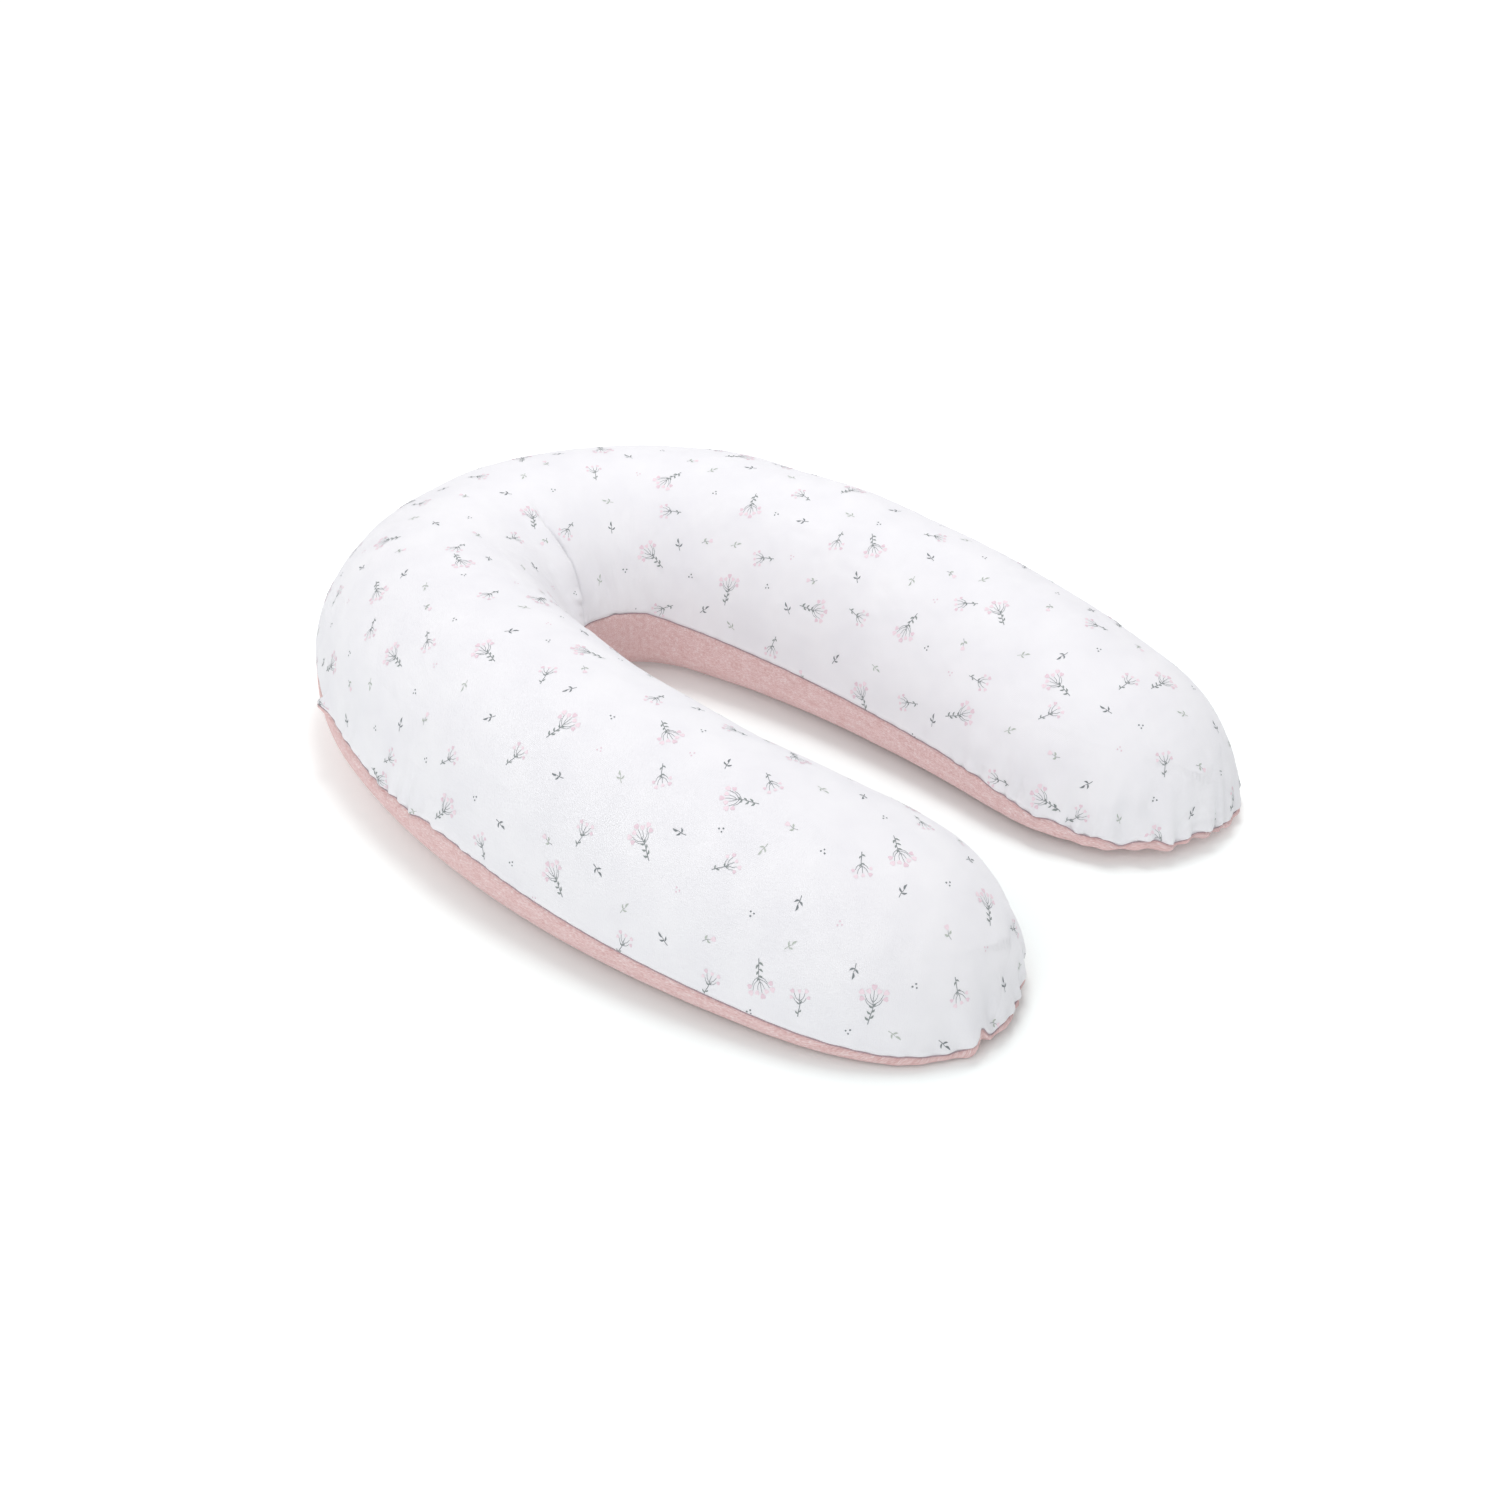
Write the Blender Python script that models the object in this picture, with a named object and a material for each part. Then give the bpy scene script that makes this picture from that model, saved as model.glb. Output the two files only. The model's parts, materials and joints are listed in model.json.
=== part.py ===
"""Nursing pillow: a C-shaped bead cushion inside a removable cover of two fabric panels.

The pillow lies on its flat underside with the bend at the back (+Y) and the two arms reaching forwards.
Every layer, from the cover inwards to the beads, is the same body drawn at its own inset, so the layers
nest at any size. The cover and the casing each close with a zip that follows the round back of the bend,
and both zip sliders turn about the vertical axis through the middle of that bend.
"""
import math
from collections import namedtuple

import bmesh
import bpy
from mathutils import Matrix, Vector

MM = 0.001

# ---- Driving dimensions, in metres ----
CENTRELINE_LENGTH = 1.80
ARM_LENGTH_DIFFERENCE = 0.070   # the left arm is this much longer than the right one, as the pillow lies
BEND_RADIUS = 0.194             # of the centreline
BEND_HALF_ANGLE = 50.0          # degrees each side of the middle
EASE_ANGLE = 47.0               # degrees that the bend's own radius would turn while it opens into an arm
ARM_CURVATURE = {"left": (1.34, 1.01), "right": (0.93, 0.18)}   # 1/m at the start and the tip of each arm

Profile = namedtuple("Profile", "bend middle tip")
HALF_WIDTH = Profile(0.133, 0.128, 0.134)
HEIGHT = Profile(0.209, 0.193, 0.1225)
INNER_SEAM_HEIGHT = Profile(0.080, 0.0535, 0.040)
OUTER_SEAM_HEIGHT = Profile(0.095, 0.045, 0.013)
TIP_SEAM_HEIGHT = 0.030         # where the two seams meet at the end of an arm

CAP_LENGTH = 0.178              # rounded stretch at the end of each arm
CAP_PLAN_POWER = 2.3            # how square the end is, seen from above
CAP_SIDE_POWER = 3.3            # how square the end is, seen from the side
CROWN_POWER = 1.27              # above 1 draws the top up to a soft ridge
BELLY_POWER = 0.40              # below 1 makes the sides drop steeply under the seam
FLAT_SINE = 0.80                # the underside is flat where the section's sine is above this

COVER_THICKNESS = 1.2 * MM
CASING_THICKNESS = 0.6 * MM
TOUCH_GAP = 0.3 * MM            # between two pieces that rest on each other
RUN_GAP = 0.4 * MM              # between a zip slider and what it runs on
TAPE_LEAN_ROOM = 0.3 * MM       # for the tapes, which lean in with the wall over the slider's width
OVERLOCK_THICKNESS = 0.8 * MM
OVERLOCK_HALF_HEIGHT = 3.5 * MM
OVERLOCK_LEAN = 0.6 * MM        # the walls lean in by this much over the height of the overlocked edge

COVER_ZIP_LENGTH = 0.45
INNER_ZIP_LENGTH = 0.16
TAPE_THICKNESS = 0.6 * MM
TAPE_REACH = 9.0 * MM           # from the seam line to the tape's far edge
COIL_THICKNESS = 1.4 * MM
COIL_NEAR = 0.5 * MM            # the two coils leave a slot of twice this for the slider's post
COIL_FAR = 2.2 * MM
STOP_LENGTH = 3.0 * MM
SLIDER_LENGTH = 10.0 * MM
SLIDER_HALF_WIDTH = 3.0 * MM
SLIDER_PLATE = 0.9 * MM
SLIDER_LIP = 0.4 * MM
SLIDER_POST_LENGTH = 3.0 * MM
PULL_LENGTH = 24.0 * MM
PULL_HALF_WIDTH = 3.4 * MM
PULL_THICKNESS = 1.2 * MM
PULL_SWING = 175.0              # degrees, from lying back along the zip to lying forwards
PIN_RADIUS = 0.45 * MM
EYE_CLEARANCE = 0.20 * MM
EYE_WALL = 0.70 * MM
EAR_THICKNESS = 0.8 * MM
LABEL_LENGTH = 40.0 * MM
LABEL_HEIGHT = 16.0 * MM
LABEL_THICKNESS = 0.4 * MM
LABEL_DISTANCE = 0.10           # from the middle of the cover zip to the middle of the care label

ARC_STEPS = 12                  # facets of the round back, from its middle to one end of the cover zip
ARM_STEPS = 12
CAP_STEPS = 6
TOP_ANGLES = (0.0, 9.0, 30.0, 60.0, 90.0, 120.0, 150.0, 171.0, 180.0)
BELLY_SINES = (0.0, 0.12, 0.45, FLAT_SINE)

# ---- Sizes that follow from them ----
OUTER_RADIUS = BEND_RADIUS + HALF_WIDTH.bend
COVER_ZIP_ANGLE = math.degrees(COVER_ZIP_LENGTH / 2 / OUTER_RADIUS)
ARC_STEP = COVER_ZIP_ANGLE / ARC_STEPS
INNER_ZIP_STEPS = max(1, round(math.degrees(INNER_ZIP_LENGTH / 2 / OUTER_RADIUS) / ARC_STEP))
INNER_ZIP_ANGLE = INNER_ZIP_STEPS * ARC_STEP
ROUND_HALF_ANGLE = max(BEND_HALF_ANGLE, COVER_ZIP_ANGLE + 2 * ARC_STEP)
ROUND_HALF_LENGTH = BEND_RADIUS * math.radians(ROUND_HALF_ANGLE)
EASE_LENGTH = BEND_RADIUS * math.radians(EASE_ANGLE)
ARM_LENGTH = {
    "left": (CENTRELINE_LENGTH + ARM_LENGTH_DIFFERENCE) / 2,
    "right": (CENTRELINE_LENGTH - ARM_LENGTH_DIFFERENCE) / 2,
}
ZIP_SLOT = SLIDER_HALF_WIDTH + 0.6 * MM     # half of the slot between the panel edges along a zip
SEAM_SLOT = TOUCH_GAP / 2                   # half of the slot between them elsewhere
SLIDER_PROUD = COIL_THICKNESS + RUN_GAP + SLIDER_PLATE      # outwards from the fabric's inner face
SLIDER_DEEP = TOUCH_GAP + TAPE_THICKNESS + TAPE_LEAN_ROOM + RUN_GAP + SLIDER_PLATE      # inwards from it
POST_HALF_WIDTH = COIL_NEAR - 0.3 * MM

# An inset is how far a layer lies inside the pillow's skin at its sides, top, underside and tips.
# zip_room is added along the back of the bend, where a zip needs room behind the layer outside it.
Inset = namedtuple("Inset", "side top underside tip zip_room zip_angle slot_angle")
OVERLOCK_DEPTH = COVER_THICKNESS + TOUCH_GAP + OVERLOCK_LEAN
CASING_SIDE = OVERLOCK_DEPTH + OVERLOCK_THICKNESS + TOUCH_GAP
CASING_ZIP_DEPTH = COVER_THICKNESS + SLIDER_DEEP + RUN_GAP + SLIDER_PROUD - CASING_THICKNESS
CASING_ROOM = max(0.0, CASING_ZIP_DEPTH - CASING_SIDE)
CASING_LEVEL = COVER_THICKNESS + TOUCH_GAP
CASING_OVERLOCK_DEPTH = CASING_SIDE + CASING_THICKNESS + TOUCH_GAP + OVERLOCK_LEAN
BEADS_SIDE = CASING_OVERLOCK_DEPTH + OVERLOCK_THICKNESS + TOUCH_GAP
BEADS_ZIP_DEPTH = CASING_SIDE + CASING_ROOM + CASING_THICKNESS + SLIDER_DEEP + RUN_GAP
BEADS_ROOM = max(CASING_ROOM, BEADS_ZIP_DEPTH - BEADS_SIDE)
BEADS_LEVEL = CASING_LEVEL + CASING_THICKNESS + TOUCH_GAP

COVER_OUTSIDE = Inset(0.0, 0.0, 0.0, 0.0, 0.0, 0.0, COVER_ZIP_ANGLE)
COVER_INSIDE = Inset(
    COVER_THICKNESS, COVER_THICKNESS, COVER_THICKNESS, COVER_THICKNESS, 0.0, 0.0, COVER_ZIP_ANGLE
)
CASING_OUTSIDE = Inset(
    CASING_SIDE, CASING_LEVEL, CASING_LEVEL, CASING_SIDE, CASING_ROOM, COVER_ZIP_ANGLE, INNER_ZIP_ANGLE
)
CASING_INSIDE = Inset(
    CASING_SIDE + CASING_THICKNESS,
    CASING_LEVEL + CASING_THICKNESS,
    CASING_LEVEL + CASING_THICKNESS,
    CASING_SIDE + CASING_THICKNESS,
    CASING_ROOM,
    COVER_ZIP_ANGLE,
    INNER_ZIP_ANGLE,
)
BEADS = Inset(BEADS_SIDE, BEADS_LEVEL, BEADS_LEVEL, BEADS_SIDE, BEADS_ROOM, COVER_ZIP_ANGLE, None)


# ---- The body's shape ----
def smoothstep(x):
    x = min(max(x, 0.0), 1.0)
    return x * x * (3.0 - 2.0 * x)


def side_of(s):
    return "left" if s > 0 else "right"


def curvature(s):
    """Curvature of the centreline at distance s from the middle of the bend; s runs to the left arm."""
    start, tip = ARM_CURVATURE[side_of(s)]
    past_bend = abs(s) - ROUND_HALF_LENGTH
    if past_bend <= 0:
        return 1.0 / BEND_RADIUS
    if past_bend <= EASE_LENGTH:
        blend = smoothstep(past_bend / EASE_LENGTH)
        return (1.0 - blend) / BEND_RADIUS + blend * start
    arm = ARM_LENGTH[side_of(s)] - ROUND_HALF_LENGTH - EASE_LENGTH
    return start + (tip - start) * min(1.0, (past_bend - EASE_LENGTH) / arm)


def centreline(s):
    """Place and inward direction at distance s, by adding up short straight steps from the bend's middle."""
    steps = max(1, math.ceil(abs(s) / 0.002))
    ds = s / steps
    heading = math.pi
    x = y = 0.0
    for i in range(steps):
        turn = curvature((i + 0.5) * ds) * ds
        x += math.cos(heading + turn / 2) * ds
        y += math.sin(heading + turn / 2) * ds
        heading += turn
    return Vector((x, y, 0.0)), Vector((-math.sin(heading), math.cos(heading), 0.0))


def along(profile, s):
    """A profile's value at distance s: level round the bend, then a smooth run along the arm."""
    arm = ARM_LENGTH[side_of(s)] - ROUND_HALF_LENGTH
    u = min(max((abs(s) - ROUND_HALF_LENGTH) / arm, 0.0), 1.0)
    return (
        profile.bend * (1 - u) * (1 - 2 * u) + 4 * profile.middle * u * (1 - u) + profile.tip * u * (2 * u - 1)
    )


def cap_share(s):
    """How far s lies into the rounded end of its arm, from 0 where the end starts to 1 at the tip."""
    start = ARM_LENGTH[side_of(s)] - CAP_LENGTH
    return min(max((abs(s) - start) / CAP_LENGTH, 0.0), 1.0)


def within_angle(s, half_angle):
    """1 within half_angle of the bend's middle, falling to 0 over one more facet."""
    if half_angle is None:
        return 0.0
    angle = math.degrees(abs(s) / BEND_RADIUS)
    return min(max((half_angle + ARC_STEP - angle) / ARC_STEP, 0.0), 1.0)


def slot(s, cosine, inset):
    """Half of the gap between the upper and lower panel edges."""
    if inset.slot_angle is None:
        return 0.0
    if cosine >= 0:
        return SEAM_SLOT
    return SEAM_SLOT + (ZIP_SLOT - SEAM_SLOT) * within_angle(s, inset.slot_angle)


def seam_height(s, cosine):
    plan = (1.0 - cap_share(s) ** CAP_PLAN_POWER) ** (1.0 / CAP_PLAN_POWER)
    inner = along(INNER_SEAM_HEIGHT, s)
    outer = along(OUTER_SEAM_HEIGHT, s)
    level = (inner + outer) / 2 + (inner - outer) / 2 * cosine
    return TIP_SEAM_HEIGHT + (level - TIP_SEAM_HEIGHT) * plan


def body_point(s, cosine, sine, inset, upper, origin_shift):
    """A point of the layer at this inset. cosine is 1 on the side inside the C and -1 on the outside."""
    share = cap_share(s)
    plan = (1.0 - share**CAP_PLAN_POWER) ** (1.0 / CAP_PLAN_POWER)
    rise = math.sqrt(1.0 - share**CAP_SIDE_POWER)
    place, inward = centreline(s - math.copysign(inset.tip * share, s))
    half_width = along(HALF_WIDTH, s) - inset.side
    if cosine < 0 and inset.zip_room > 0:
        half_width -= inset.zip_room * within_angle(s, inset.zip_angle)
    seam = seam_height(s, cosine)
    half_slot = slot(s, cosine, inset)
    if upper:
        edge = seam + half_slot
        z = edge + (along(HEIGHT, s) - inset.top - edge) * rise * sine**CROWN_POWER
    else:
        edge = seam - half_slot
        z = edge - (edge - inset.underside) * rise * min(1.0, sine / FLAT_SINE) ** BELLY_POWER
    return place + inward * (half_width * plan * cosine) + Vector((0.0, 0.0, z)) - origin_shift


def stations():
    """Distances along the centreline where every layer has a section, from the right tip to the left."""
    arc = [i * ARC_STEP for i in range(-ARC_STEPS - 1, ARC_STEPS + 2)]
    angles = [-ROUND_HALF_ANGLE] + arc + [ROUND_HALF_ANGLE]
    bend = [BEND_RADIUS * math.radians(a) for a in angles]
    arms = {}
    for side, length in ARM_LENGTH.items():
        cap_start = length - CAP_LENGTH
        run = [
            ROUND_HALF_LENGTH + (cap_start - ROUND_HALF_LENGTH) * (i + 1) / ARM_STEPS for i in range(ARM_STEPS)
        ]
        quarter = [math.sin(math.pi / 2 * (i + 1) / CAP_STEPS) for i in range(CAP_STEPS)]
        arms[side] = run + [cap_start + CAP_LENGTH * q for q in quarter]
    return [-s for s in reversed(arms["right"])] + bend + arms["left"]


def upper_rows():
    return [(math.cos(math.radians(a)), math.sin(math.radians(a))) for a in TOP_ANGLES]


def lower_rows():
    """Rows of the underside, from the outer seam to the inner one."""
    outer = [(-math.sqrt(1.0 - s * s), s) for s in BELLY_SINES]
    return outer + [(-c, s) for c, s in reversed(outer)]


def footprint_centre():
    """Middle of the box round the pillow, seen from above, which becomes the origin."""
    zero = Vector((0.0, 0.0, 0.0))
    rim = [body_point(s, c, 0.0, COVER_OUTSIDE, True, zero) for s in stations() for c in (-1.0, 1.0)]
    xs = [p.x for p in rim]
    coil_at_the_back = HALF_WIDTH.bend - COVER_THICKNESS + COIL_THICKNESS
    ys = [p.y for p in rim] + [coil_at_the_back]
    return Vector(((min(xs) + max(xs)) / 2, (min(ys) + max(ys)) / 2, 0.0))


# ---- Scene helpers ----
def clear_scene():
    for item in list(bpy.data.objects):
        bpy.data.objects.remove(item, do_unlink=True)


def linear(hex_colour):
    """An sRGB hex colour as the linear RGBA that Blender's sockets take."""
    values = []
    for i in (1, 3, 5):
        v = int(hex_colour[i : i + 2], 16) / 255
        values.append(v / 12.92 if v <= 0.04045 else ((v + 0.055) / 1.055) ** 2.4)
    return (*values, 1.0)


def plain_material(name, hex_colour, roughness, metallic=0.0):
    material = bpy.data.materials.new(name)
    material.use_nodes = True
    shader = material.node_tree.nodes["Principled BSDF"]
    shader.inputs["Base Color"].default_value = linear(hex_colour)
    shader.inputs["Roughness"].default_value = roughness
    shader.inputs["Metallic"].default_value = metallic
    material.diffuse_color = linear(hex_colour)
    return material


def link_object(name, mesh, material, parent=None, location=(0.0, 0.0, 0.0)):
    item = bpy.data.objects.new(name, mesh)
    item.data.materials.append(material)
    item.parent = parent
    item.location = location
    bpy.context.collection.objects.link(item)
    return item


def mesh_from(name, bm, smooth=False):
    bmesh.ops.recalc_face_normals(bm, faces=bm.faces)
    mesh = bpy.data.meshes.new(name)
    bm.to_mesh(mesh)
    bm.free()
    if smooth:
        mesh.shade_smooth()
        mesh.set_sharp_from_angle(angle=math.radians(50.0))
    return mesh


# ---- Layers of the body ----
def skin(bm, rows, inset, upper, shift):
    """One sheet of a layer: a grid of points, and its two tip points."""
    places = stations()
    grid = [[bm.verts.new(body_point(s, c, v, inset, upper, shift)) for c, v in rows] for s in places[1:-1]]
    tips = [bm.verts.new(body_point(s, 1.0, 0.0, inset, upper, shift)) for s in (places[0], places[-1])]
    return grid, tips


def face_grid(bm, grid, tips, closed_ring):
    width = len(grid[0])
    pairs = [(i, (i + 1) % width) for i in range(width if closed_ring else width - 1)]
    for near, far in zip(grid, grid[1:]):
        for i, j in pairs:
            bm.faces.new((near[i], near[j], far[j], far[i]))
    for ring, tip in ((grid[0], tips[0]), (grid[-1], tips[1])):
        for i, j in pairs:
            bm.faces.new((ring[i], ring[j], tip))


def panel(name, rows, outside, inside, upper, material, shift):
    """A fabric panel: an outer and an inner sheet, closed along the panel's edge."""
    bm = bmesh.new()
    outer, outer_tips = skin(bm, rows, outside, upper, shift)
    inner, inner_tips = skin(bm, rows, inside, upper, shift)
    face_grid(bm, outer, outer_tips, False)
    face_grid(bm, inner, inner_tips, False)
    for edge in (0, -1):
        outer_rim = [outer_tips[0]] + [ring[edge] for ring in outer] + [outer_tips[1]]
        inner_rim = [inner_tips[0]] + [ring[edge] for ring in inner] + [inner_tips[1]]
        for a, b, c, d in zip(outer_rim, outer_rim[1:], inner_rim[1:], inner_rim):
            bm.faces.new((a, b, c, d))
    return link_object(name, mesh_from(name, bm, smooth=True), material)


def bead_body(name, material, shift):
    """The loose beads as one solid that fills the casing."""
    bm = bmesh.new()
    upper, tips = skin(bm, upper_rows(), BEADS, True, shift)
    lower = [
        [bm.verts.new(body_point(s, c, v, BEADS, False, shift)) for c, v in lower_rows()[1:-1]]
        for s in stations()[1:-1]
    ]
    rings = [top + bottom for top, bottom in zip(upper, lower)]
    face_grid(bm, rings, tips, True)
    return link_object(name, mesh_from(name, bm, smooth=True), material)


def overlocked_edge(name, depth, layer, zip_angle, material, shift):
    """The overlocked seam allowance: a strip inside the layer, from one end of its zip round to the other."""
    places = stations()
    zip_end = BEND_RADIUS * math.radians(zip_angle + ARC_STEP)
    left = [s for s in places if s > zip_end]
    right = [s for s in places if s < -zip_end]
    route = [(s, -1.0) for s in left]
    route += [(s, 1.0) for s in reversed(places[1:-1])]
    route += [(s, -1.0) for s in right]
    bm = bmesh.new()
    rings = []
    for s, cosine in route:
        height = OVERLOCK_HALF_HEIGHT * max(0.25, 1.0 - cap_share(s) ** 4)
        face = depth
        back = depth + OVERLOCK_THICKNESS
        corners = []
        for inset_depth, lift in ((face, height), (back, height), (back, -height), (face, -height)):
            inset = layer._replace(side=inset_depth, tip=inset_depth, slot_angle=None)
            point = body_point(s, cosine, 0.0, inset, True, shift)
            corners.append(bm.verts.new(point + Vector((0.0, 0.0, lift))))
        rings.append(corners)
    for near, far in zip(rings, rings[1:]):
        for i in range(4):
            j = (i + 1) % 4
            bm.faces.new((near[i], near[j], far[j], far[i]))
    bm.faces.new(rings[0])
    bm.faces.new(rings[-1])
    return link_object(name, mesh_from(name, bm), material)


# ---- Zips ----
def wall_lean(upper):
    """How far the body's wall leans inwards for each metre of height, just above or below the outer seam."""
    cosine, sine = upper_rows()[1] if upper else lower_rows()[1]
    if upper:
        height = (HEIGHT.bend - OUTER_SEAM_HEIGHT.bend - ZIP_SLOT) * sine**CROWN_POWER
    else:
        height = (OUTER_SEAM_HEIGHT.bend - ZIP_SLOT) * (sine / FLAT_SINE) ** BELLY_POWER
    return HALF_WIDTH.bend * (1.0 - abs(cosine)) / height


def arc_strip(name, corners, start, end, steps, axis, material):
    """A strip bent round the axis. corners are its section as (radius, height above the seam) pairs."""
    bm = bmesh.new()
    rings = []
    for i in range(steps + 1):
        angle = math.radians(start + (end - start) * i / steps)
        out = Vector((-math.sin(angle), math.cos(angle), 0.0))
        rings.append([bm.verts.new(axis + out * r + Vector((0.0, 0.0, h))) for r, h in corners])
    for near, far in zip(rings, rings[1:]):
        for i in range(len(corners)):
            j = (i + 1) % len(corners)
            bm.faces.new((near[i], near[j], far[j], far[i]))
    bm.faces.new(rings[0])
    bm.faces.new(rings[-1])
    return link_object(name, mesh_from(name, bm), material)


def tape_section(radius, thickness, upper):
    outer = radius - thickness - TOUCH_GAP
    near = COIL_FAR - 0.3 * MM
    drop = wall_lean(upper) * max(0.0, TAPE_REACH - near)
    sign = 1.0 if upper else -1.0
    return [
        (outer, sign * near),
        (outer - drop, sign * TAPE_REACH),
        (outer - drop - TAPE_THICKNESS, sign * TAPE_REACH),
        (outer - TAPE_THICKNESS, sign * near),
    ]


def coil_section(radius, thickness, upper):
    inner = radius - thickness
    sign = 1.0 if upper else -1.0
    return [
        (inner, sign * COIL_NEAR),
        (inner + COIL_THICKNESS, sign * COIL_NEAR),
        (inner + COIL_THICKNESS, sign * COIL_FAR),
        (inner, sign * COIL_FAR),
    ]


def box(bm, low, high):
    size = Vector(high) - Vector(low)
    centre = (Vector(high) + Vector(low)) / 2
    matrix = Matrix.Translation(centre) @ Matrix.Diagonal((*size, 1.0))
    bmesh.ops.create_cube(bm, size=1.0, matrix=matrix)


def upright_cylinder(bm, radius, low, high, x=0.0, y=0.0, segments=16):
    matrix = Matrix.Translation((x, y, (low + high) / 2))
    bmesh.ops.create_cone(
        bm, cap_ends=True, segments=segments, radius1=radius, radius2=radius, depth=high - low, matrix=matrix
    )


def joined(name, makers, material, parent, location):
    """Unites simple closed shapes into one solid: the first is the object, the others are cutters joined to it."""
    base_bm = bmesh.new()
    makers[0](base_bm)
    item = link_object(name, mesh_from(name, base_bm), material, parent, location)
    for number, (operation, make) in enumerate(makers[1:], start=1):
        tool_bm = bmesh.new()
        make(tool_bm)
        tool_name = f"{name}_tool_{number}"
        tool = link_object(tool_name, mesh_from(tool_name, tool_bm), material, parent, location)
        tool.hide_render = True
        tool.display_type = "WIRE"
        boolean = item.modifiers.new(tool_name, "BOOLEAN")
        boolean.operation = operation
        boolean.solver = "EXACT"
        boolean.object = tool
    return item


def zip_slider(name, thickness, with_ears, material, pivot, radius):
    """A slider in its own axes: x along the zip, y outwards and z up, with y = 0 at the fabric's outer face."""
    half_length = SLIDER_LENGTH / 2
    outer_high = SLIDER_PROUD - thickness
    outer_low = outer_high - SLIDER_PLATE
    inner_low = -thickness - SLIDER_DEEP
    inner_high = inner_low + SLIDER_PLATE
    lip_low = -thickness - TOUCH_GAP + RUN_GAP
    overlap = 0.2 * MM

    def outer_plate(bm):
        box(bm, (-half_length, outer_low, -SLIDER_HALF_WIDTH), (half_length, outer_high, SLIDER_HALF_WIDTH))

    def inner_plate(bm):
        box(bm, (-half_length, inner_low, -SLIDER_HALF_WIDTH), (half_length, inner_high, SLIDER_HALF_WIDTH))

    def post(bm):
        low = (half_length - SLIDER_POST_LENGTH, inner_high - overlap, -POST_HALF_WIDTH)
        box(bm, low, (half_length, outer_low + overlap, POST_HALF_WIDTH))

    def lip(sign):
        def make(bm):
            near = sign * (SLIDER_HALF_WIDTH - SLIDER_LIP)
            far = sign * SLIDER_HALF_WIDTH
            low = (-half_length, lip_low, min(near, far))
            box(bm, low, (half_length, outer_low + overlap, max(near, far)))

        return make

    def ear(sign):
        def make(bm):
            near = sign * ear_inside()
            far = sign * (ear_inside() + EAR_THICKNESS)
            half = EYE_WALL + PIN_RADIUS
            low = (-half, outer_high - overlap, min(near, far))
            box(bm, low, (half, pin_height(thickness) + half, max(near, far)))

        return make

    def pin(bm):
        reach = ear_inside() + EAR_THICKNESS / 2
        upright_cylinder(bm, PIN_RADIUS, -reach, reach, y=pin_height(thickness))

    makers = [outer_plate, ("UNION", post), ("UNION", inner_plate), ("UNION", lip(1.0)), ("UNION", lip(-1.0))]
    if with_ears:
        makers += [("UNION", ear(1.0)), ("UNION", ear(-1.0)), ("UNION", pin)]
    return joined(name, makers, material, pivot, (0.0, radius, 0.0))


def ear_inside():
    """Height of an ear's inner face above the slider's middle."""
    return SLIDER_HALF_WIDTH - 1.3 * MM


def pin_height(thickness):
    """How far the pull's pin stands out from the fabric's outer face."""
    eye_outside = PIN_RADIUS + EYE_CLEARANCE + EYE_WALL
    return SLIDER_PROUD - thickness + eye_outside + TOUCH_GAP


def zip_pull(name, material, hinge):
    """The flat pull, drawn with its hinge pin at the origin and lying back along -x."""
    eye_inside = PIN_RADIUS + EYE_CLEARANCE
    eye_outside = eye_inside + EYE_WALL
    neck_half = ear_inside() - TOUCH_GAP
    shoulder = eye_outside + EAR_THICKNESS + 0.3 * MM
    half_thick = PULL_THICKNESS / 2

    def eye(bm):
        upright_cylinder(bm, eye_outside, -neck_half, neck_half)

    def neck(bm):
        box(bm, (-shoulder - 0.5 * MM, -half_thick, -neck_half), (-eye_inside, half_thick, neck_half))

    def blade(bm):
        round_centre = -(PULL_LENGTH - PULL_HALF_WIDTH)
        outline = [(-shoulder, -PULL_HALF_WIDTH * 0.75), (-shoulder, PULL_HALF_WIDTH * 0.75)]
        for i in range(9):
            angle = math.radians(90.0 + 180.0 * i / 8)
            x = round_centre + PULL_HALF_WIDTH * math.cos(angle)
            outline.append((x, PULL_HALF_WIDTH * math.sin(angle)))
        face = bm.faces.new([bm.verts.new((x, -half_thick, z)) for x, z in outline])
        grown = bmesh.ops.extrude_face_region(bm, geom=[face])
        top = [v for v in grown["geom"] if isinstance(v, bmesh.types.BMVert)]
        bmesh.ops.translate(bm, verts=top, vec=(0.0, PULL_THICKNESS, 0.0))

    def bore(bm):
        upright_cylinder(bm, eye_inside, -2 * neck_half, 2 * neck_half)

    def finger_hole(bm):
        matrix = Matrix.Translation((-(PULL_LENGTH - PULL_HALF_WIDTH), 0.0, 0.0)) @ Matrix.Rotation(
            math.pi / 2, 4, "X"
        )
        bmesh.ops.create_cone(
            bm,
            cap_ends=True,
            segments=16,
            radius1=PULL_HALF_WIDTH / 2,
            radius2=PULL_HALF_WIDTH / 2,
            depth=2 * PULL_THICKNESS,
            matrix=matrix,
        )

    makers = [eye, ("UNION", neck), ("UNION", blade), ("DIFFERENCE", bore), ("DIFFERENCE", finger_hole)]
    return joined(name, makers, material, hinge, (0.0, 0.0, 0.0))


def empty(name, location, turn=0.0, parent=None):
    item = bpy.data.objects.new(name, None)
    item.location = location
    item.rotation_euler = (0.0, 0.0, turn)
    item.parent = parent
    bpy.context.collection.objects.link(item)
    return item


def travel_angle(zip_angle, radius):
    """The slider's place at one end of its run: short of the stop by half its length and a small gap."""
    back_off = STOP_LENGTH + TOUCH_GAP + SLIDER_LENGTH / 2 + RUN_GAP
    return zip_angle - math.degrees(back_off / radius)


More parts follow.
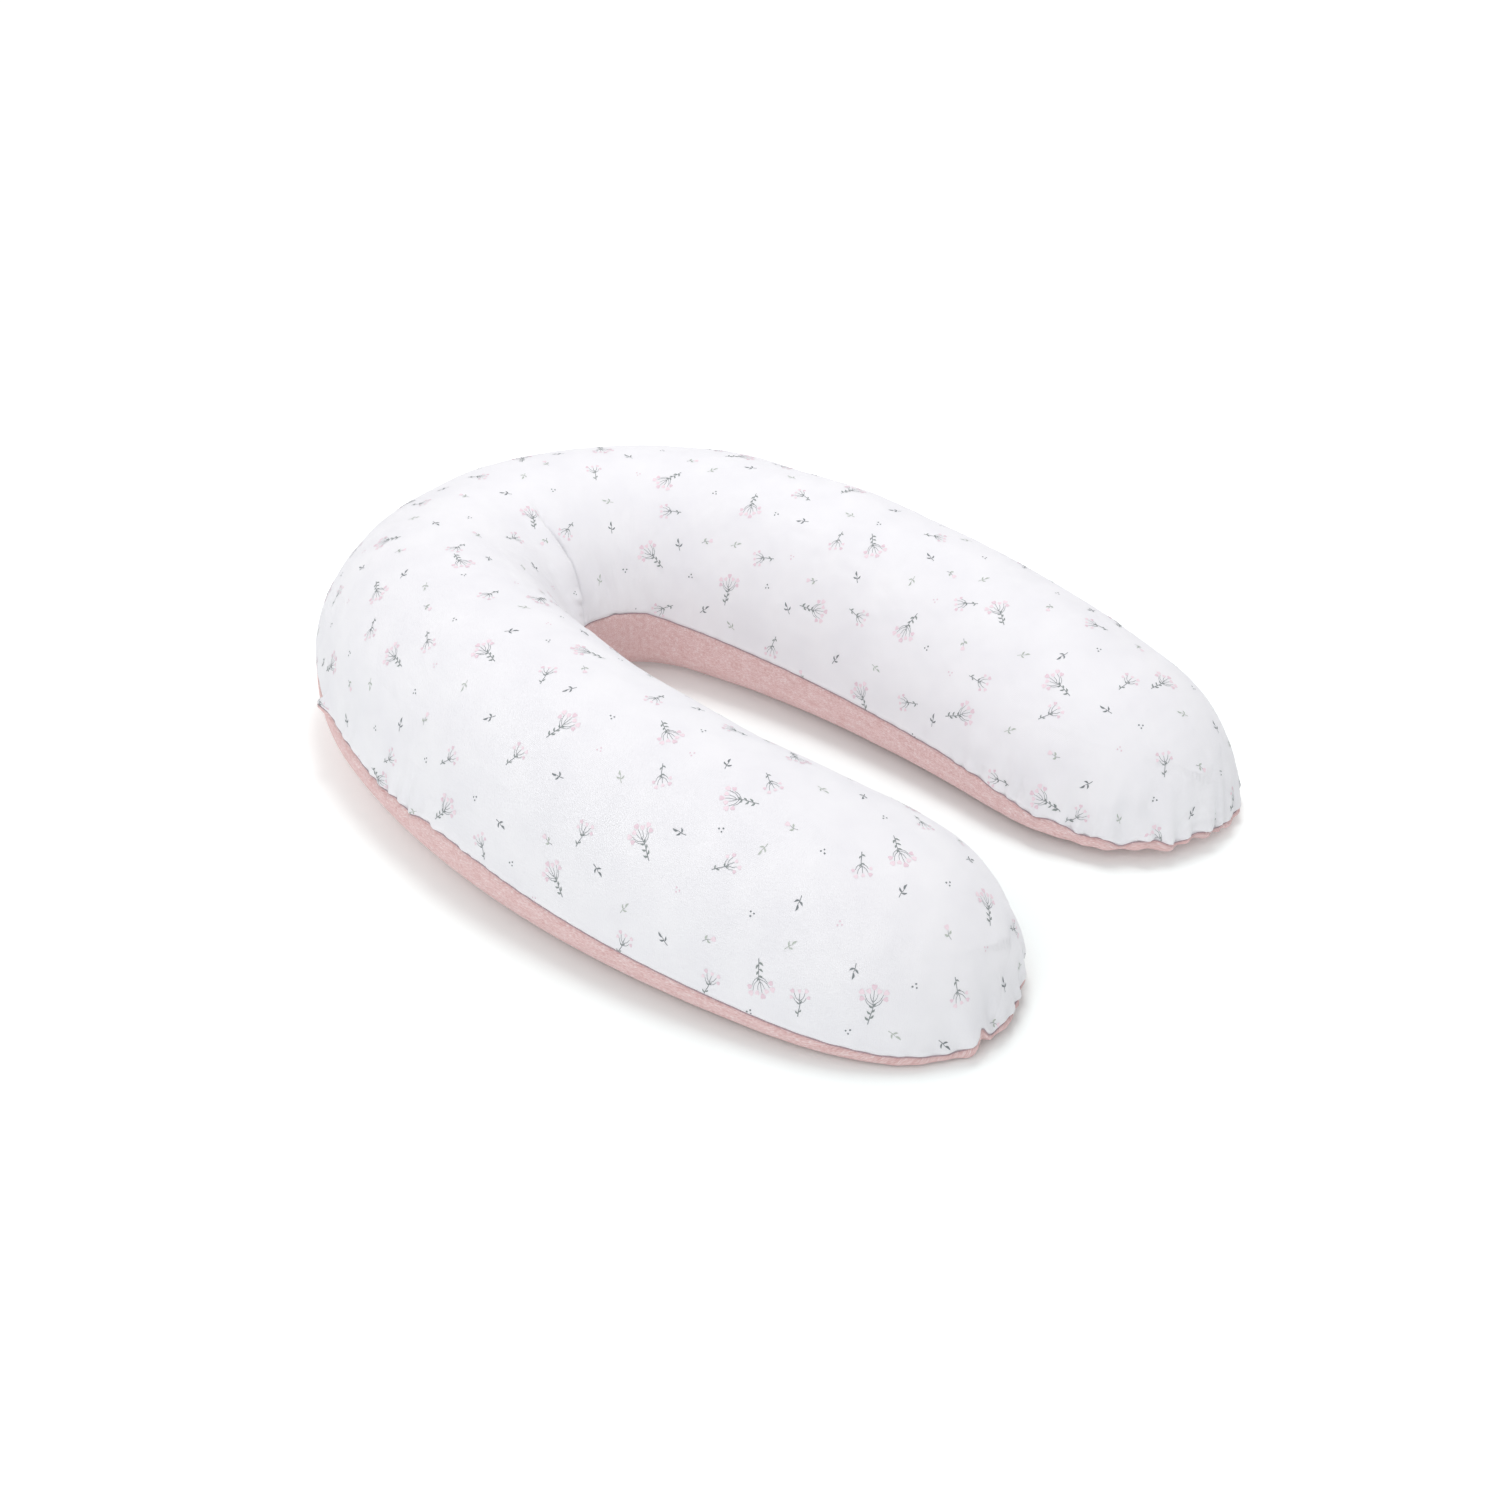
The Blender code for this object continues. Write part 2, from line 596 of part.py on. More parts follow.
def zip_set(prefix, radius, thickness, zip_angle, steps, axis, looks, with_pull):
    """Both tapes, both coils, the two stops and the slider of a zip round the back of the bend."""
    stop = math.degrees(STOP_LENGTH / radius)
    gap = math.degrees(TOUCH_GAP / radius)
    coil_end = zip_angle - stop - gap
    for upper, word in ((True, "upper"), (False, "lower")):
        tape = tape_section(radius, thickness, upper)
        arc_strip(f"{prefix}_zip_tape_{word}", tape, -zip_angle, zip_angle, 2 * steps, axis, looks["tape"])
        coil = coil_section(radius, thickness, upper)
        arc_strip(f"{prefix}_zip_coil_{word}", coil, -coil_end, coil_end, 2 * steps, axis, looks["coil"])
    inner = radius - thickness
    outer = inner + COIL_THICKNESS
    block = [(inner, -COIL_FAR), (outer, -COIL_FAR), (outer, COIL_FAR), (inner, COIL_FAR)]
    for sign, word in ((-1, "closed"), (1, "open")):
        ends = sorted((sign * (zip_angle - stop), sign * zip_angle))
        arc_strip(f"{prefix}_zip_stop_{word}", block, ends[0], ends[1], 1, axis, looks["metal"])
    rest = -travel_angle(zip_angle, radius)
    pivot = empty(f"{prefix}_zip_axis", axis, math.radians(rest))
    zip_slider(f"{prefix}_zip_slider", thickness, with_pull, looks["metal"], pivot, radius)
    if with_pull:
        hinge = empty(f"{prefix}_pull_axis", (0.0, radius + pin_height(thickness), 0.0), 0.0, pivot)
        zip_pull(f"{prefix}_zip_pull", looks["metal"], hinge)


def care_label(name, axis, material):
    """A blank care label that hangs from the cover's zip tape, between the cover and the casing."""
    depth = COVER_THICKNESS + TOUCH_GAP + TAPE_THICKNESS + wall_lean(False) * TAPE_REACH + TOUCH_GAP
    outer = OUTER_RADIUS - depth
    top = -COIL_FAR - TOUCH_GAP - 1.0 * MM
    section = [
        (outer, top),
        (outer, top - LABEL_HEIGHT),
        (outer - LABEL_THICKNESS, top - LABEL_HEIGHT),
        (outer - LABEL_THICKNESS, top),
    ]
    middle = math.degrees(LABEL_DISTANCE / OUTER_RADIUS)
    half = math.degrees(LABEL_LENGTH / 2 / OUTER_RADIUS)
    steps = max(2, math.ceil(2 * half / ARC_STEP))
    return arc_strip(name, section, middle - half, middle + half, steps, axis, material)


# ---- The whole pillow ----
def build():
    clear_scene()
    shift = footprint_centre()
    axis = Vector((0.0, -BEND_RADIUS, OUTER_SEAM_HEIGHT.bend)) - shift

    print_jersey = plain_material("printed_jersey", "#F1F2F4", 0.9)
    melange_jersey = plain_material("melange_jersey", "#D9BCBF", 0.92)
    casing_cotton = plain_material("casing_cotton", "#F3F1EC", 0.9)
    thread = plain_material("overlock_thread", "#E9E4E2", 0.8)
    beads = plain_material("polystyrene_beads", "#FAFAFA", 0.6)
    satin = plain_material("label_satin", "#F7F6F2", 0.5)
    pink_zip = {
        "tape": plain_material("zip_tape_pink", "#CDAFB3", 0.85),
        "coil": plain_material("zip_coil_pink", "#C4A2A7", 0.45),
        "metal": plain_material("slider_lacquer_pink", "#B8949A", 0.4, 0.3),
    }
    white_zip = {
        "tape": plain_material("zip_tape_white", "#ECEAE6", 0.85),
        "coil": plain_material("zip_coil_white", "#E6E4E0", 0.45),
        "metal": plain_material("slider_zinc", "#B9BABC", 0.35, 1.0),
    }

    panel("cover_top_panel", upper_rows(), COVER_OUTSIDE, COVER_INSIDE, True, print_jersey, shift)
    panel("cover_base_panel", lower_rows(), COVER_OUTSIDE, COVER_INSIDE, False, melange_jersey, shift)
    overlocked_edge("cover_overlocked_seam", OVERLOCK_DEPTH, COVER_INSIDE, COVER_ZIP_ANGLE, thread, shift)
    zip_set("cover", OUTER_RADIUS, COVER_THICKNESS, COVER_ZIP_ANGLE, ARC_STEPS, axis, pink_zip, True)
    care_label("care_label", axis, satin)

    panel("casing_top_panel", upper_rows(), CASING_OUTSIDE, CASING_INSIDE, True, casing_cotton, shift)
    panel("casing_base_panel", lower_rows(), CASING_OUTSIDE, CASING_INSIDE, False, casing_cotton, shift)
    overlocked_edge(
        "casing_overlocked_seam", CASING_OVERLOCK_DEPTH, CASING_INSIDE, INNER_ZIP_ANGLE, thread, shift
    )
    casing_radius = OUTER_RADIUS - CASING_SIDE - CASING_ROOM
    zip_set(
        "casing", casing_radius, CASING_THICKNESS, INNER_ZIP_ANGLE, INNER_ZIP_STEPS, axis, white_zip, False
    )
    bead_body("bead_filling", beads, shift)


build()
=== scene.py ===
# %% [markdown]
# # A C-shaped nursing pillow
# A long bead-filled cushion bends round the body of whoever sits in it. Its loose cover is two jersey
# panels: a white printed one over the top and a rose melange one under it, joined by one seam that runs
# all the way round. The engineering model is loaded first. It fixes every size, so each piece below is
# worked out from it.

# %% The frame and its box
import json
import math

import bmesh
import bpy
import numpy as np
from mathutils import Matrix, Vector
from mathutils.bvhtree import BVHTree
from mathutils.kdtree import KDTree


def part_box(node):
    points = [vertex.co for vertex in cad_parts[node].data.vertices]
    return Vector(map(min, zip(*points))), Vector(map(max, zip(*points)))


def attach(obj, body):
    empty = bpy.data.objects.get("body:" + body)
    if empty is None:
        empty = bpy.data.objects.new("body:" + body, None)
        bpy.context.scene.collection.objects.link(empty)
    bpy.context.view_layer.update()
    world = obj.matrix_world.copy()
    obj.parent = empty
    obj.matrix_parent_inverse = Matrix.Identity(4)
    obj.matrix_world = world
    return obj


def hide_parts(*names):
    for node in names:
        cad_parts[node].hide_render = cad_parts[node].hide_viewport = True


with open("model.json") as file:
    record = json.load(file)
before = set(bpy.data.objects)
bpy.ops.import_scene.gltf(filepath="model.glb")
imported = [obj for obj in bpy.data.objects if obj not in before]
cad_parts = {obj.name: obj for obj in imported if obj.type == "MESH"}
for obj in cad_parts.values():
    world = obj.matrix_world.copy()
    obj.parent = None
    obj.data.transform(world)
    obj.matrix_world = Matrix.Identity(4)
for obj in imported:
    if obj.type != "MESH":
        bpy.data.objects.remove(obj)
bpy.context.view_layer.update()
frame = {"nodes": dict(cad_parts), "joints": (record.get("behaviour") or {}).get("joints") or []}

MM = 0.001
bend_centre = Vector(next(j["pos_m"] for j in frame["joints"] if j["name"] == "cover_zip_travel"))
print("nodes:", len(frame["nodes"]), " bend centre:", [round(v, 4) for v in bend_centre])

# %% [markdown]
# ## Small helpers
# Colours are easiest to choose as hex values from a colour picker, but Blender's sockets take linear
# light, so one function turns one into the other. Node trees are written with one helper that adds a
# node, sets it and links it, which keeps a material down to a few lines that can be read from top to
# bottom.

# %% Colour, node and material helpers
def linear(hex_colour):
    """An sRGB hex colour as linear red, green, blue and alpha."""
    values = [int(hex_colour[i : i + 2], 16) / 255 for i in (1, 3, 5)]
    return (*(v / 12.92 if v <= 0.04045 else ((v + 0.055) / 1.055) ** 2.4 for v in values), 1.0)


def add_node(tree, kind, inputs=(), **settings):
    """Adds a node. inputs maps a socket's name or number to a value, or to the socket that feeds it."""
    node = tree.nodes.new("ShaderNode" + kind)
    for name, value in settings.items():
        setattr(node, name, value)
    for key, value in dict(inputs).items():
        if isinstance(value, bpy.types.NodeSocket):
            tree.links.new(value, node.inputs[key])
        else:
            node.inputs[key].default_value = value
    return node


def new_material(name, **shader_values):
    """A material with its shader's own sockets set. Returns the material, its tree and the shader."""
    material = bpy.data.materials.new(name)
    material.use_nodes = True
    shader = material.node_tree.nodes["Principled BSDF"]
    for key, value in shader_values.items():
        shader.inputs[key.replace("_", " ")].default_value = value
    return material, material.node_tree, shader


def colour_stops(ramp_node, stops):
    """Fills a colour ramp from (position, hex) pairs."""
    elements = ramp_node.color_ramp.elements
    while len(elements) < len(stops):
        elements.new(0.5)
    for element, (position, colour) in zip(elements, stops):
        element.position = position
        element.color = linear(colour)


def in_scene(name, data):
    """A new object, linked to the scene."""
    item = bpy.data.objects.new(name, data)
    bpy.context.scene.collection.objects.link(item)
    return item


def finish_piece(item, body, replaced=()):
    """Rides the piece on a body and hides the solids it stands for."""
    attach(item, body)
    if replaced:
        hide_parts(*replaced)
    return item


print("white as linear light:", [round(v, 3) for v in linear("#FFFFFF")[:3]])

# %% [markdown]
# ## Camera, floor and light
# The pillow lies on a pale seamless sweep, seen from above its shorter side. Light in such a studio comes
# from big soft boxes, so shadows have no hard edge: one box almost overhead draws the round top and a
# short dark shadow at the floor, a wider one fills from the front, and the pale surroundings lift what is
# left.

# %% The camera
camera_data = bpy.data.cameras.new("studio_camera")
camera = in_scene("studio_camera", camera_data)
camera_data.lens = 48.8
camera_data.sensor_width = 36.0
camera_data.shift_x = 0.0522
camera_data.shift_y = -0.0150
camera.location = (-1.2061, -1.2931, 1.033)
looking_at = Vector((-0.0091, 0.0909, 0.0))
camera.rotation_euler = (looking_at - camera.location).to_track_quat("-Z", "Y").to_euler()
bpy.context.scene.camera = camera
print("camera distance:", round((looking_at - camera.location).length, 3), "m")

# %% [markdown]
# The floor is white background paper. It also glows, a painted light that grows with the distance from
# one place, so that it stays white far from the pillow and is least between the arms and just in front of
# them, where it paints a darker shade. The faint cool tint is painted too: it cancels the rose light that
# the cloth throws on the paper, so that white paper looks neutral beside rose cloth.

# %% The floor
# Where the floor's painted glow is least, so that the paper there shows a painted shade.
PAINTED_SHADE_PLACE = (-0.10, -0.20, 0.0)
floor_mesh = bpy.data.meshes.new("studio_floor")
sweep = bmesh.new()
bmesh.ops.create_grid(sweep, x_segments=8, y_segments=8, size=40.0)
sweep.to_mesh(floor_mesh)
sweep.free()
floor = in_scene("studio_floor", floor_mesh)
floor.location = (0, 0, -0.5 * MM)
floor_paper, tree, shader = new_material("matt_background_paper", Roughness=0.9)
shader.inputs["Emission Color"].default_value = linear("#FFFFFF")
place = add_node(tree, "TexCoord")
mottle = add_node(tree, "TexNoise", {"Vector": place.outputs["Object"], "Scale": 3.0, "Detail": 2.0})
# The cool tint is painted: it cancels the rose light that the cloth throws on the floor.
tint = add_node(tree, "ValToRGB", {"Fac": mottle.outputs["Fac"]})
colour_stops(tint, [(0.3, "#F6FBFA"), (0.7, "#F8FDFC")])
# Painted light: the floor glows more the further it is from one place and least there, which paints a
# darker shade between the arms and just in front of them.
away = add_node(tree, "VectorMath", {0: place.outputs["Object"], 1: PAINTED_SHADE_PLACE}, operation="DISTANCE")
painted_floor_glow = add_node(
    tree,
    "MapRange",
    {"Value": away.outputs["Value"], "From Min": 0.23, "From Max": 1.10, "To Min": 0.02, "To Max": 0.50},
)
tree.links.new(painted_floor_glow.outputs["Result"], shader.inputs["Emission Strength"])
tree.links.new(tint.outputs["Color"], shader.inputs["Base Color"])
floor_mesh.materials.append(floor_paper)
print("floor:", floor_paper.name)

# %% The lights
def soft_box(name, place, size, watts):
    """A square soft light at a place, turned towards the pillow."""
    data = bpy.data.lights.new(name, "AREA")
    data.shape = "SQUARE"
    data.size = size
    data.energy = watts
    lamp = in_scene(name, data)
    lamp.location = place
    lamp.rotation_euler = (Vector((0, 0, 0.05)) - Vector(place)).to_track_quat("-Z", "Y").to_euler()
    print(name, watts, "W")


soft_box("soft_box_overhead", (0.45, 0.40, 2.6), 1.0, 29.0)
soft_box("soft_box_front", (-2.3, -1.3, 2.2), 1.6, 23.0)
world = bpy.data.worlds.new("pale_studio")
world.use_nodes = True
world.node_tree.nodes["Background"].inputs["Color"].default_value = linear("#FBFBFC")
world.node_tree.nodes["Background"].inputs["Strength"].default_value = 0.62
bpy.context.scene.world = world
bpy.context.scene.view_settings.view_transform = "Standard"

# %% [markdown]
# ## The body's shape
# The pillow could be sculpted by hand, but the engineering model already says how it is drawn: a
# centreline that is round at the back and eases into two arms, and a section that changes along it. The
# same drawing is repeated here on a much finer grid, so the visible cloth sits exactly where the solid
# is. s is the distance along the centreline from the middle of the bend, positive along the longer, more
# curved arm.

# %% Sizes from the engineering drawing
CENTRELINE_LENGTH = 1.80
ARM_LENGTH_DIFFERENCE = 0.070
BEND_RADIUS = 0.194
BEND_HALF_ANGLE = 50.0
EASE_ANGLE = 47.0
ROUND_HALF_LENGTH = BEND_RADIUS * math.radians(BEND_HALF_ANGLE)
EASE_LENGTH = BEND_RADIUS * math.radians(EASE_ANGLE)
LEFT_ARM = (CENTRELINE_LENGTH + ARM_LENGTH_DIFFERENCE) / 2
RIGHT_ARM = (CENTRELINE_LENGTH - ARM_LENGTH_DIFFERENCE) / 2
LEFT_CURVATURE = (1.34, 1.01)
RIGHT_CURVATURE = (0.93, 0.18)
HALF_WIDTH = (0.133, 0.128, 0.134)
HEIGHT = (0.209, 0.193, 0.1225)
INNER_SEAM_HEIGHT = (0.080, 0.0535, 0.040)
OUTER_SEAM_HEIGHT = (0.095, 0.045, 0.013)
TIP_SEAM_HEIGHT = 0.030
CAP_LENGTH = 0.178
CAP_PLAN_POWER = 2.3           # how square an arm's end is, seen from above
CAP_SIDE_POWER = 3.3           # and seen from the side
CROWN_POWER = 1.27             # above 1 draws the top up to a soft ridge
FLAT_SINE = 0.80               # the underside is flat where the section's sine is above this
BELLY_POWER = 0.40             # below 1 makes the sides drop steeply under the seam
OUTER_RADIUS = BEND_RADIUS + HALF_WIDTH[0]
COVER_ZIP_LENGTH = 0.45
ZIP_HALF_ANGLE = math.degrees(COVER_ZIP_LENGTH / 2 / OUTER_RADIUS)
INNER_ZIP_HALF_ANGLE = ZIP_HALF_ANGLE / 3
ZIP_SLOT = 3.6 * MM
ZIP_HEIGHT = bend_centre.z
print("zip:", round(2 * ZIP_HALF_ANGLE, 1), "degrees, arms:", LEFT_ARM, RIGHT_ARM)


# %% Centreline and section
def arm_length(s):
    """The length of the arm that s is on."""
    return np.where(s > 0, LEFT_ARM, RIGHT_ARM)


def curvature(s):
    """How sharply the centreline turns at s, as one over its radius."""
    start = np.where(s > 0, LEFT_CURVATURE[0], RIGHT_CURVATURE[0])
    tip = np.where(s > 0, LEFT_CURVATURE[1], RIGHT_CURVATURE[1])
    past = np.abs(s) - ROUND_HALF_LENGTH
    t = np.clip(past / EASE_LENGTH, 0, 1)
    t = t * t * (3 - 2 * t)
    run = np.clip((past - EASE_LENGTH) / (arm_length(s) - ROUND_HALF_LENGTH - EASE_LENGTH), 0, 1)
    return (1 - t) / BEND_RADIUS + t * (start + (tip - start) * run)


def along(profile, s):
    """A size at s: level round the bend, then smoothly through the arm's middle to its tip."""
    u = np.clip((np.abs(s) - ROUND_HALF_LENGTH) / (arm_length(s) - ROUND_HALF_LENGTH), 0, 1)
    return profile[0] * (1 - u) * (1 - 2 * u) + 4 * profile[1] * u * (1 - u) + profile[2] * u * (2 * u - 1)


def centreline(s_values):
    """Places on the centreline and directions inwards, from 1 mm steps added up from the bend's middle."""
    fine = {}
    for sign, reach in ((1, LEFT_ARM), (-1, RIGHT_ARM)):
        steps = int(reach / MM) + 2
        ds = sign * MM
        turn = curvature((np.arange(steps) + 0.5) * ds) * ds
        heading = math.pi + np.concatenate([[0.0], np.cumsum(turn)])
        middle = (heading[1:] + heading[:-1]) / 2
        x = np.concatenate([[0.0], np.cumsum(np.cos(middle) * ds)])
        y = np.concatenate([[0.0], np.cumsum(np.sin(middle) * ds)])
        fine[sign] = (np.arange(steps + 1) * MM, x, y, heading)
    out = np.zeros((len(s_values), 4))
    for i, s in enumerate(s_values):
        distance, x, y, heading = fine[1 if s > 0 else -1]
        h = np.interp(abs(s), distance, heading)
        out[i] = np.interp(abs(s), distance, x), np.interp(abs(s), distance, y), -math.sin(h), math.cos(h)
    out[:, 0] += bend_centre.x
    out[:, 1] += bend_centre.y + BEND_RADIUS
    return out


def cap_plan(s):
    """How wide and how high the section is at s, as shares that fall to 0 at the end of an arm."""
    share = np.clip((np.abs(s) - (arm_length(s) - CAP_LENGTH)) / CAP_LENGTH, 0, 1)
    return (1 - share**CAP_PLAN_POWER) ** (1 / CAP_PLAN_POWER), np.sqrt(1 - share**CAP_SIDE_POWER)


def zip_share(s, half_angle):
    """1 along a zip, and 0 outside it, with a short ramp at each end."""
    step = ZIP_HALF_ANGLE / 12
    return np.clip((half_angle + step - np.degrees(np.abs(s) / BEND_RADIUS)) / step, 0, 1)


def skin_points(s_values, cosines, sines, upper):
    """The cover's outside as a grid of points: one row of the grid for each place along the centreline."""
    s = np.asarray(s_values)[:, None]
    c, v = np.asarray(cosines)[None, :], np.asarray(sines)[None, :]
    plan, rise = cap_plan(s)
    line = centreline(s_values)
    inner, outer = along(INNER_SEAM_HEIGHT, s), along(OUTER_SEAM_HEIGHT, s)
    seam = TIP_SEAM_HEIGHT + ((inner + outer) / 2 + (inner - outer) / 2 * c - TIP_SEAM_HEIGHT) * plan
    if upper:
        z = seam + (along(HEIGHT, s) - seam) * rise * v**CROWN_POWER
    else:
        z = seam - seam * rise * np.minimum(1.0, v / FLAT_SINE) ** BELLY_POWER
    reach = along(HALF_WIDTH, s) * plan * c
    x = line[:, 0:1] + line[:, 2:3] * reach
    y = line[:, 1:2] + line[:, 3:4] * reach
    return np.stack([x, y, z], axis=-1)


crown = skin_points([0.0], [0.0], [1.0], True)[0, 0]
print("the top of the bend is", round(crown[2] / MM, 1), "mm high")

# %% Where the grid's lines run
MID_ARM = 0.45
CAP_HALF_WIDTH = 0.13


def even_angles(count, upper):
    """Angles from the inner seam to the outer one whose points are evenly spread over a middle section."""
    angle = np.linspace(0, math.pi, 4001)
    points = skin_points([MID_ARM], np.cos(angle), np.sin(angle), upper)[0]
    run = np.concatenate([[0.0], np.cumsum(np.linalg.norm(np.diff(points, axis=0), axis=1))])
    return np.interp(np.linspace(0, run[-1], count + 1), run, angle), run[-1]


def even_cap(length, spacing):
    """Distances along a rounded end whose sections are evenly spread round its outline."""
    share = np.linspace(0, 1, 20001)
    half_width = (1 - share**CAP_PLAN_POWER) ** (1 / CAP_PLAN_POWER) * CAP_HALF_WIDTH
    outline = np.stack([share * CAP_LENGTH, half_width], axis=-1)
    run = np.concatenate([[0.0], np.cumsum(np.linalg.norm(np.diff(outline, axis=0), axis=1))])
    count = round(run[-1] / spacing)
    return length - CAP_LENGTH + CAP_LENGTH * np.interp(np.linspace(0, run[-1], count + 1), run, share)[1:]


SPACING = 3.0 * MM
FINER = 3                      # fine cells across one cell of the grid that is simulated
straight = np.arange(-(RIGHT_ARM - CAP_LENGTH), LEFT_ARM - CAP_LENGTH + 1e-9, SPACING)
stations = np.concatenate([-even_cap(RIGHT_ARM, SPACING)[::-1], straight, even_cap(LEFT_ARM, SPACING)])
while (len(stations) - 1) % FINER:
    middle = len(stations) // 2
    stations = np.insert(stations, middle, (stations[middle - 1] + stations[middle]) / 2)
TOP_ROWS = 144
BASE_ROWS = 84
top_angles, top_arc = even_angles(TOP_ROWS, True)
base_angles, base_arc = even_angles(BASE_ROWS, False)
top_grid = skin_points(stations, np.cos(top_angles), np.abs(np.sin(top_angles)), True)
base_grid = skin_points(stations, np.cos(base_angles), np.abs(np.sin(base_angles)), False)
print("sections:", len(stations), " over:", round(top_arc, 3), "m  under:", round(base_arc, 3), "m")

# %% [markdown]
# ## Letting the cloth swell
# A filled cover isn't as smooth as a drawing: the filling pushes the jersey out between the seams, and
# the seam hardly stretches. Blender's cloth with a little pressure inside does this. A coarse closed copy
# of the body is simulated with its seam, flat underside and zip held, how far each point may move is
# capped, and the movement is then spread over the fine grid. The drawing already has the filled shape, so
# only a little of the even part of the swelling is kept, and all of the unevenness.

# %% A closed mesh from rings of points
def ring_of(top, base):
    """Top from the inner seam to the outer one, then the base back again, as one closed ring of points."""
    return np.concatenate([top, base[:, -2:0:-1]], axis=1)


def closed_mesh(name, ring):
    """A closed mesh from rings of points whose first and last rings are each a single point."""
    count, width = ring.shape[:2]
    body = ring[1:-1].reshape(-1, 3)
    points = np.concatenate([body, ring[:1, 0], ring[-1:, 0]])
    first, last = len(body), len(body) + 1
    faces = []
    for i in range(count - 3):
        a = i * width
        for j in range(width):
            k = (j + 1) % width
            faces.append((a + j, a + k, a + width + k, a + width + j))
    end = (count - 3) * width
    faces += [(first, (j + 1) % width, j) for j in range(width)]
    faces += [(last, end + j, end + (j + 1) % width) for j in range(width)]
    mesh = bpy.data.meshes.new(name)
    mesh.from_pydata(points.tolist(), [], faces)
    return mesh


fine_ring = ring_of(top_grid, base_grid)
RING = fine_ring.shape[1]
print("points round a section:", RING)

# %% The cloth
FRAMES = 20


def swell(ring, held):
    """Runs the cloth and returns how far each point of the ring has moved."""
    mesh = closed_mesh("cover_to_swell", ring)
    item = in_scene("cover_to_swell", mesh)
    points = len(mesh.vertices)
    group = item.vertex_groups.new(name="held")
    flat = np.concatenate([held[1:-1].reshape(-1), held[0, :1], held[-1, :1]])
    for i in np.flatnonzero(flat > 0):
        group.add([int(i)], float(flat[i]), "REPLACE")
    cloth = item.modifiers.new("cloth", "CLOTH")
    cloth.settings.quality = 6
    cloth.settings.mass = 0.02
    cloth.settings.tension_stiffness = 5
    cloth.settings.compression_stiffness = 5
    cloth.settings.shear_stiffness = 6
    cloth.settings.bending_stiffness = 0.5
    cloth.settings.use_pressure = True
    cloth.settings.uniform_pressure_force = 4.0
    cloth.settings.vertex_group_mass = "held"
    cloth.settings.pin_stiffness = 1.0
    cloth.settings.effector_weights.gravity = 0.0
    cloth.collision_settings.use_collision = False
    scene = bpy.context.scene
    for step in range(1, FRAMES + 1):
        scene.frame_set(step)
    moved = item.evaluated_get(bpy.context.evaluated_depsgraph_get()).data
    places = np.zeros(points * 3, np.float32)
    moved.vertices.foreach_get("co", places)
    places = places.reshape(-1, 3).astype(float)
    scene.frame_set(1)
    bpy.data.objects.remove(item, do_unlink=True)
    count, width = ring.shape[:2]
    result = ring.copy()
    result[1:-1] = places[:-2].reshape(count - 2, width, 3)
    result[0], result[-1] = places[-2], places[-1]
    return result - ring


def smoothed(field, times):
    """Evens out a field on the ring, round each section and along the body."""
    for _ in range(times):
        field = (np.roll(field, 1, 1) + 2 * field + np.roll(field, -1, 1)) / 4
        field[1:-1] = (field[:-2] + 2 * field[1:-1] + field[2:]) / 4
    return field


print("the cloth runs for", FRAMES, "frames")

# %% Swell the coarse copy and spread its movement over the fine grid
CAP_ON_SWELL = 6.0 * MM
EVEN_SWELL = 1.0 * MM          # how much of the even part is kept, since the drawing already has that shape
TIP_HELD = 12 * MM
SEAM_HELD = 0.9                # the seam is sewn through two layers and hardly stretches
ring_row = np.arange(RING)
shift = np.zeros_like(fine_ring)
coarse = fine_ring[::FINER, ::FINER]
coarse_s = stations[::FINER]
underside = coarse[..., 2] < 4 * MM
tip_hold = np.clip((np.abs(coarse_s) - (arm_length(coarse_s) - TIP_HELD)) / TIP_HELD, 0, 1)[:, None]
zip_hold = zip_share(coarse_s, ZIP_HALF_ANGLE)[:, None]
zip_hold = zip_hold * (np.abs(np.arange(coarse.shape[1]) - TOP_ROWS // FINER) <= 2)[None, :]
on_seam = (ring_row == 0) | (ring_row == TOP_ROWS)
seam_hold = on_seam[::FINER][None, :] * SEAM_HELD
holds = np.broadcast_arrays(underside * 1.0, tip_hold, zip_hold, seam_hold)
moved = swell(coarse, np.clip(np.maximum.reduce(holds), 0, 1))
even = smoothed(moved, 30)
creases = moved - even
even_size = np.linalg.norm(even, axis=-1, keepdims=True)
even *= EVEN_SWELL * np.tanh(even_size / EVEN_SWELL) / np.maximum(even_size, 1e-9)
moved = even + creases
far = np.linalg.norm(moved, axis=-1, keepdims=True)
moved *= np.minimum(1.0, CAP_ON_SWELL / np.maximum(far, 1e-9))
print("even swell up to", round(even_size.max() * 1000, 1), "mm, creases up to",
      round(np.linalg.norm(creases, axis=-1).max() * 1000, 1), "mm")
i = np.arange(len(stations)) / FINER
low = np.minimum(i.astype(int), len(coarse_s) - 2)
part = (i - low)[:, None, None]
tall = moved[low] * (1 - part) + moved[low + 1] * part
j = np.arange(RING) / FINER
left = j.astype(int)
part = (j - left)[None, :, None]
shift = smoothed(tall[:, left] * (1 - part) + tall[:, (left + 1) % coarse.shape[1]] * part, 2)
shift[..., 2] = np.maximum(shift[..., 2], -fine_ring[..., 2])
fine_ring = fine_ring + shift
print("the skin moves by up to", round(np.linalg.norm(shift, axis=-1).max() / MM, 1), "mm")

# %% [markdown]
# ## Fields along the seam
# Everything that happens at the seam is easiest to say in the seam's own terms: how far round it a point
# is, and how far off it. Both are found for every point of the grid near the seam by asking for the
# closest seam point.

# %% Rows, runs and normals of a grid
def refined_rows(points, arc, extra=(0.45 * MM, 1.0 * MM, 1.7 * MM)):
    """Adds three rows close to each edge of a grid, so that a narrow seam groove has points to bend."""
    step = arc / (points.shape[1] - 1)
    rows = [points[:, 0:1]]
    rows += [points[:, 0:1] + (points[:, 1:2] - points[:, 0:1]) * (e / step) for e in extra]
    rows.append(points[:, 1:-1])
    rows += [points[:, -1:] + (points[:, -2:-1] - points[:, -1:]) * (e / step) for e in extra[::-1]]
    rows.append(points[:, -1:])
    return np.concatenate(rows, axis=1)


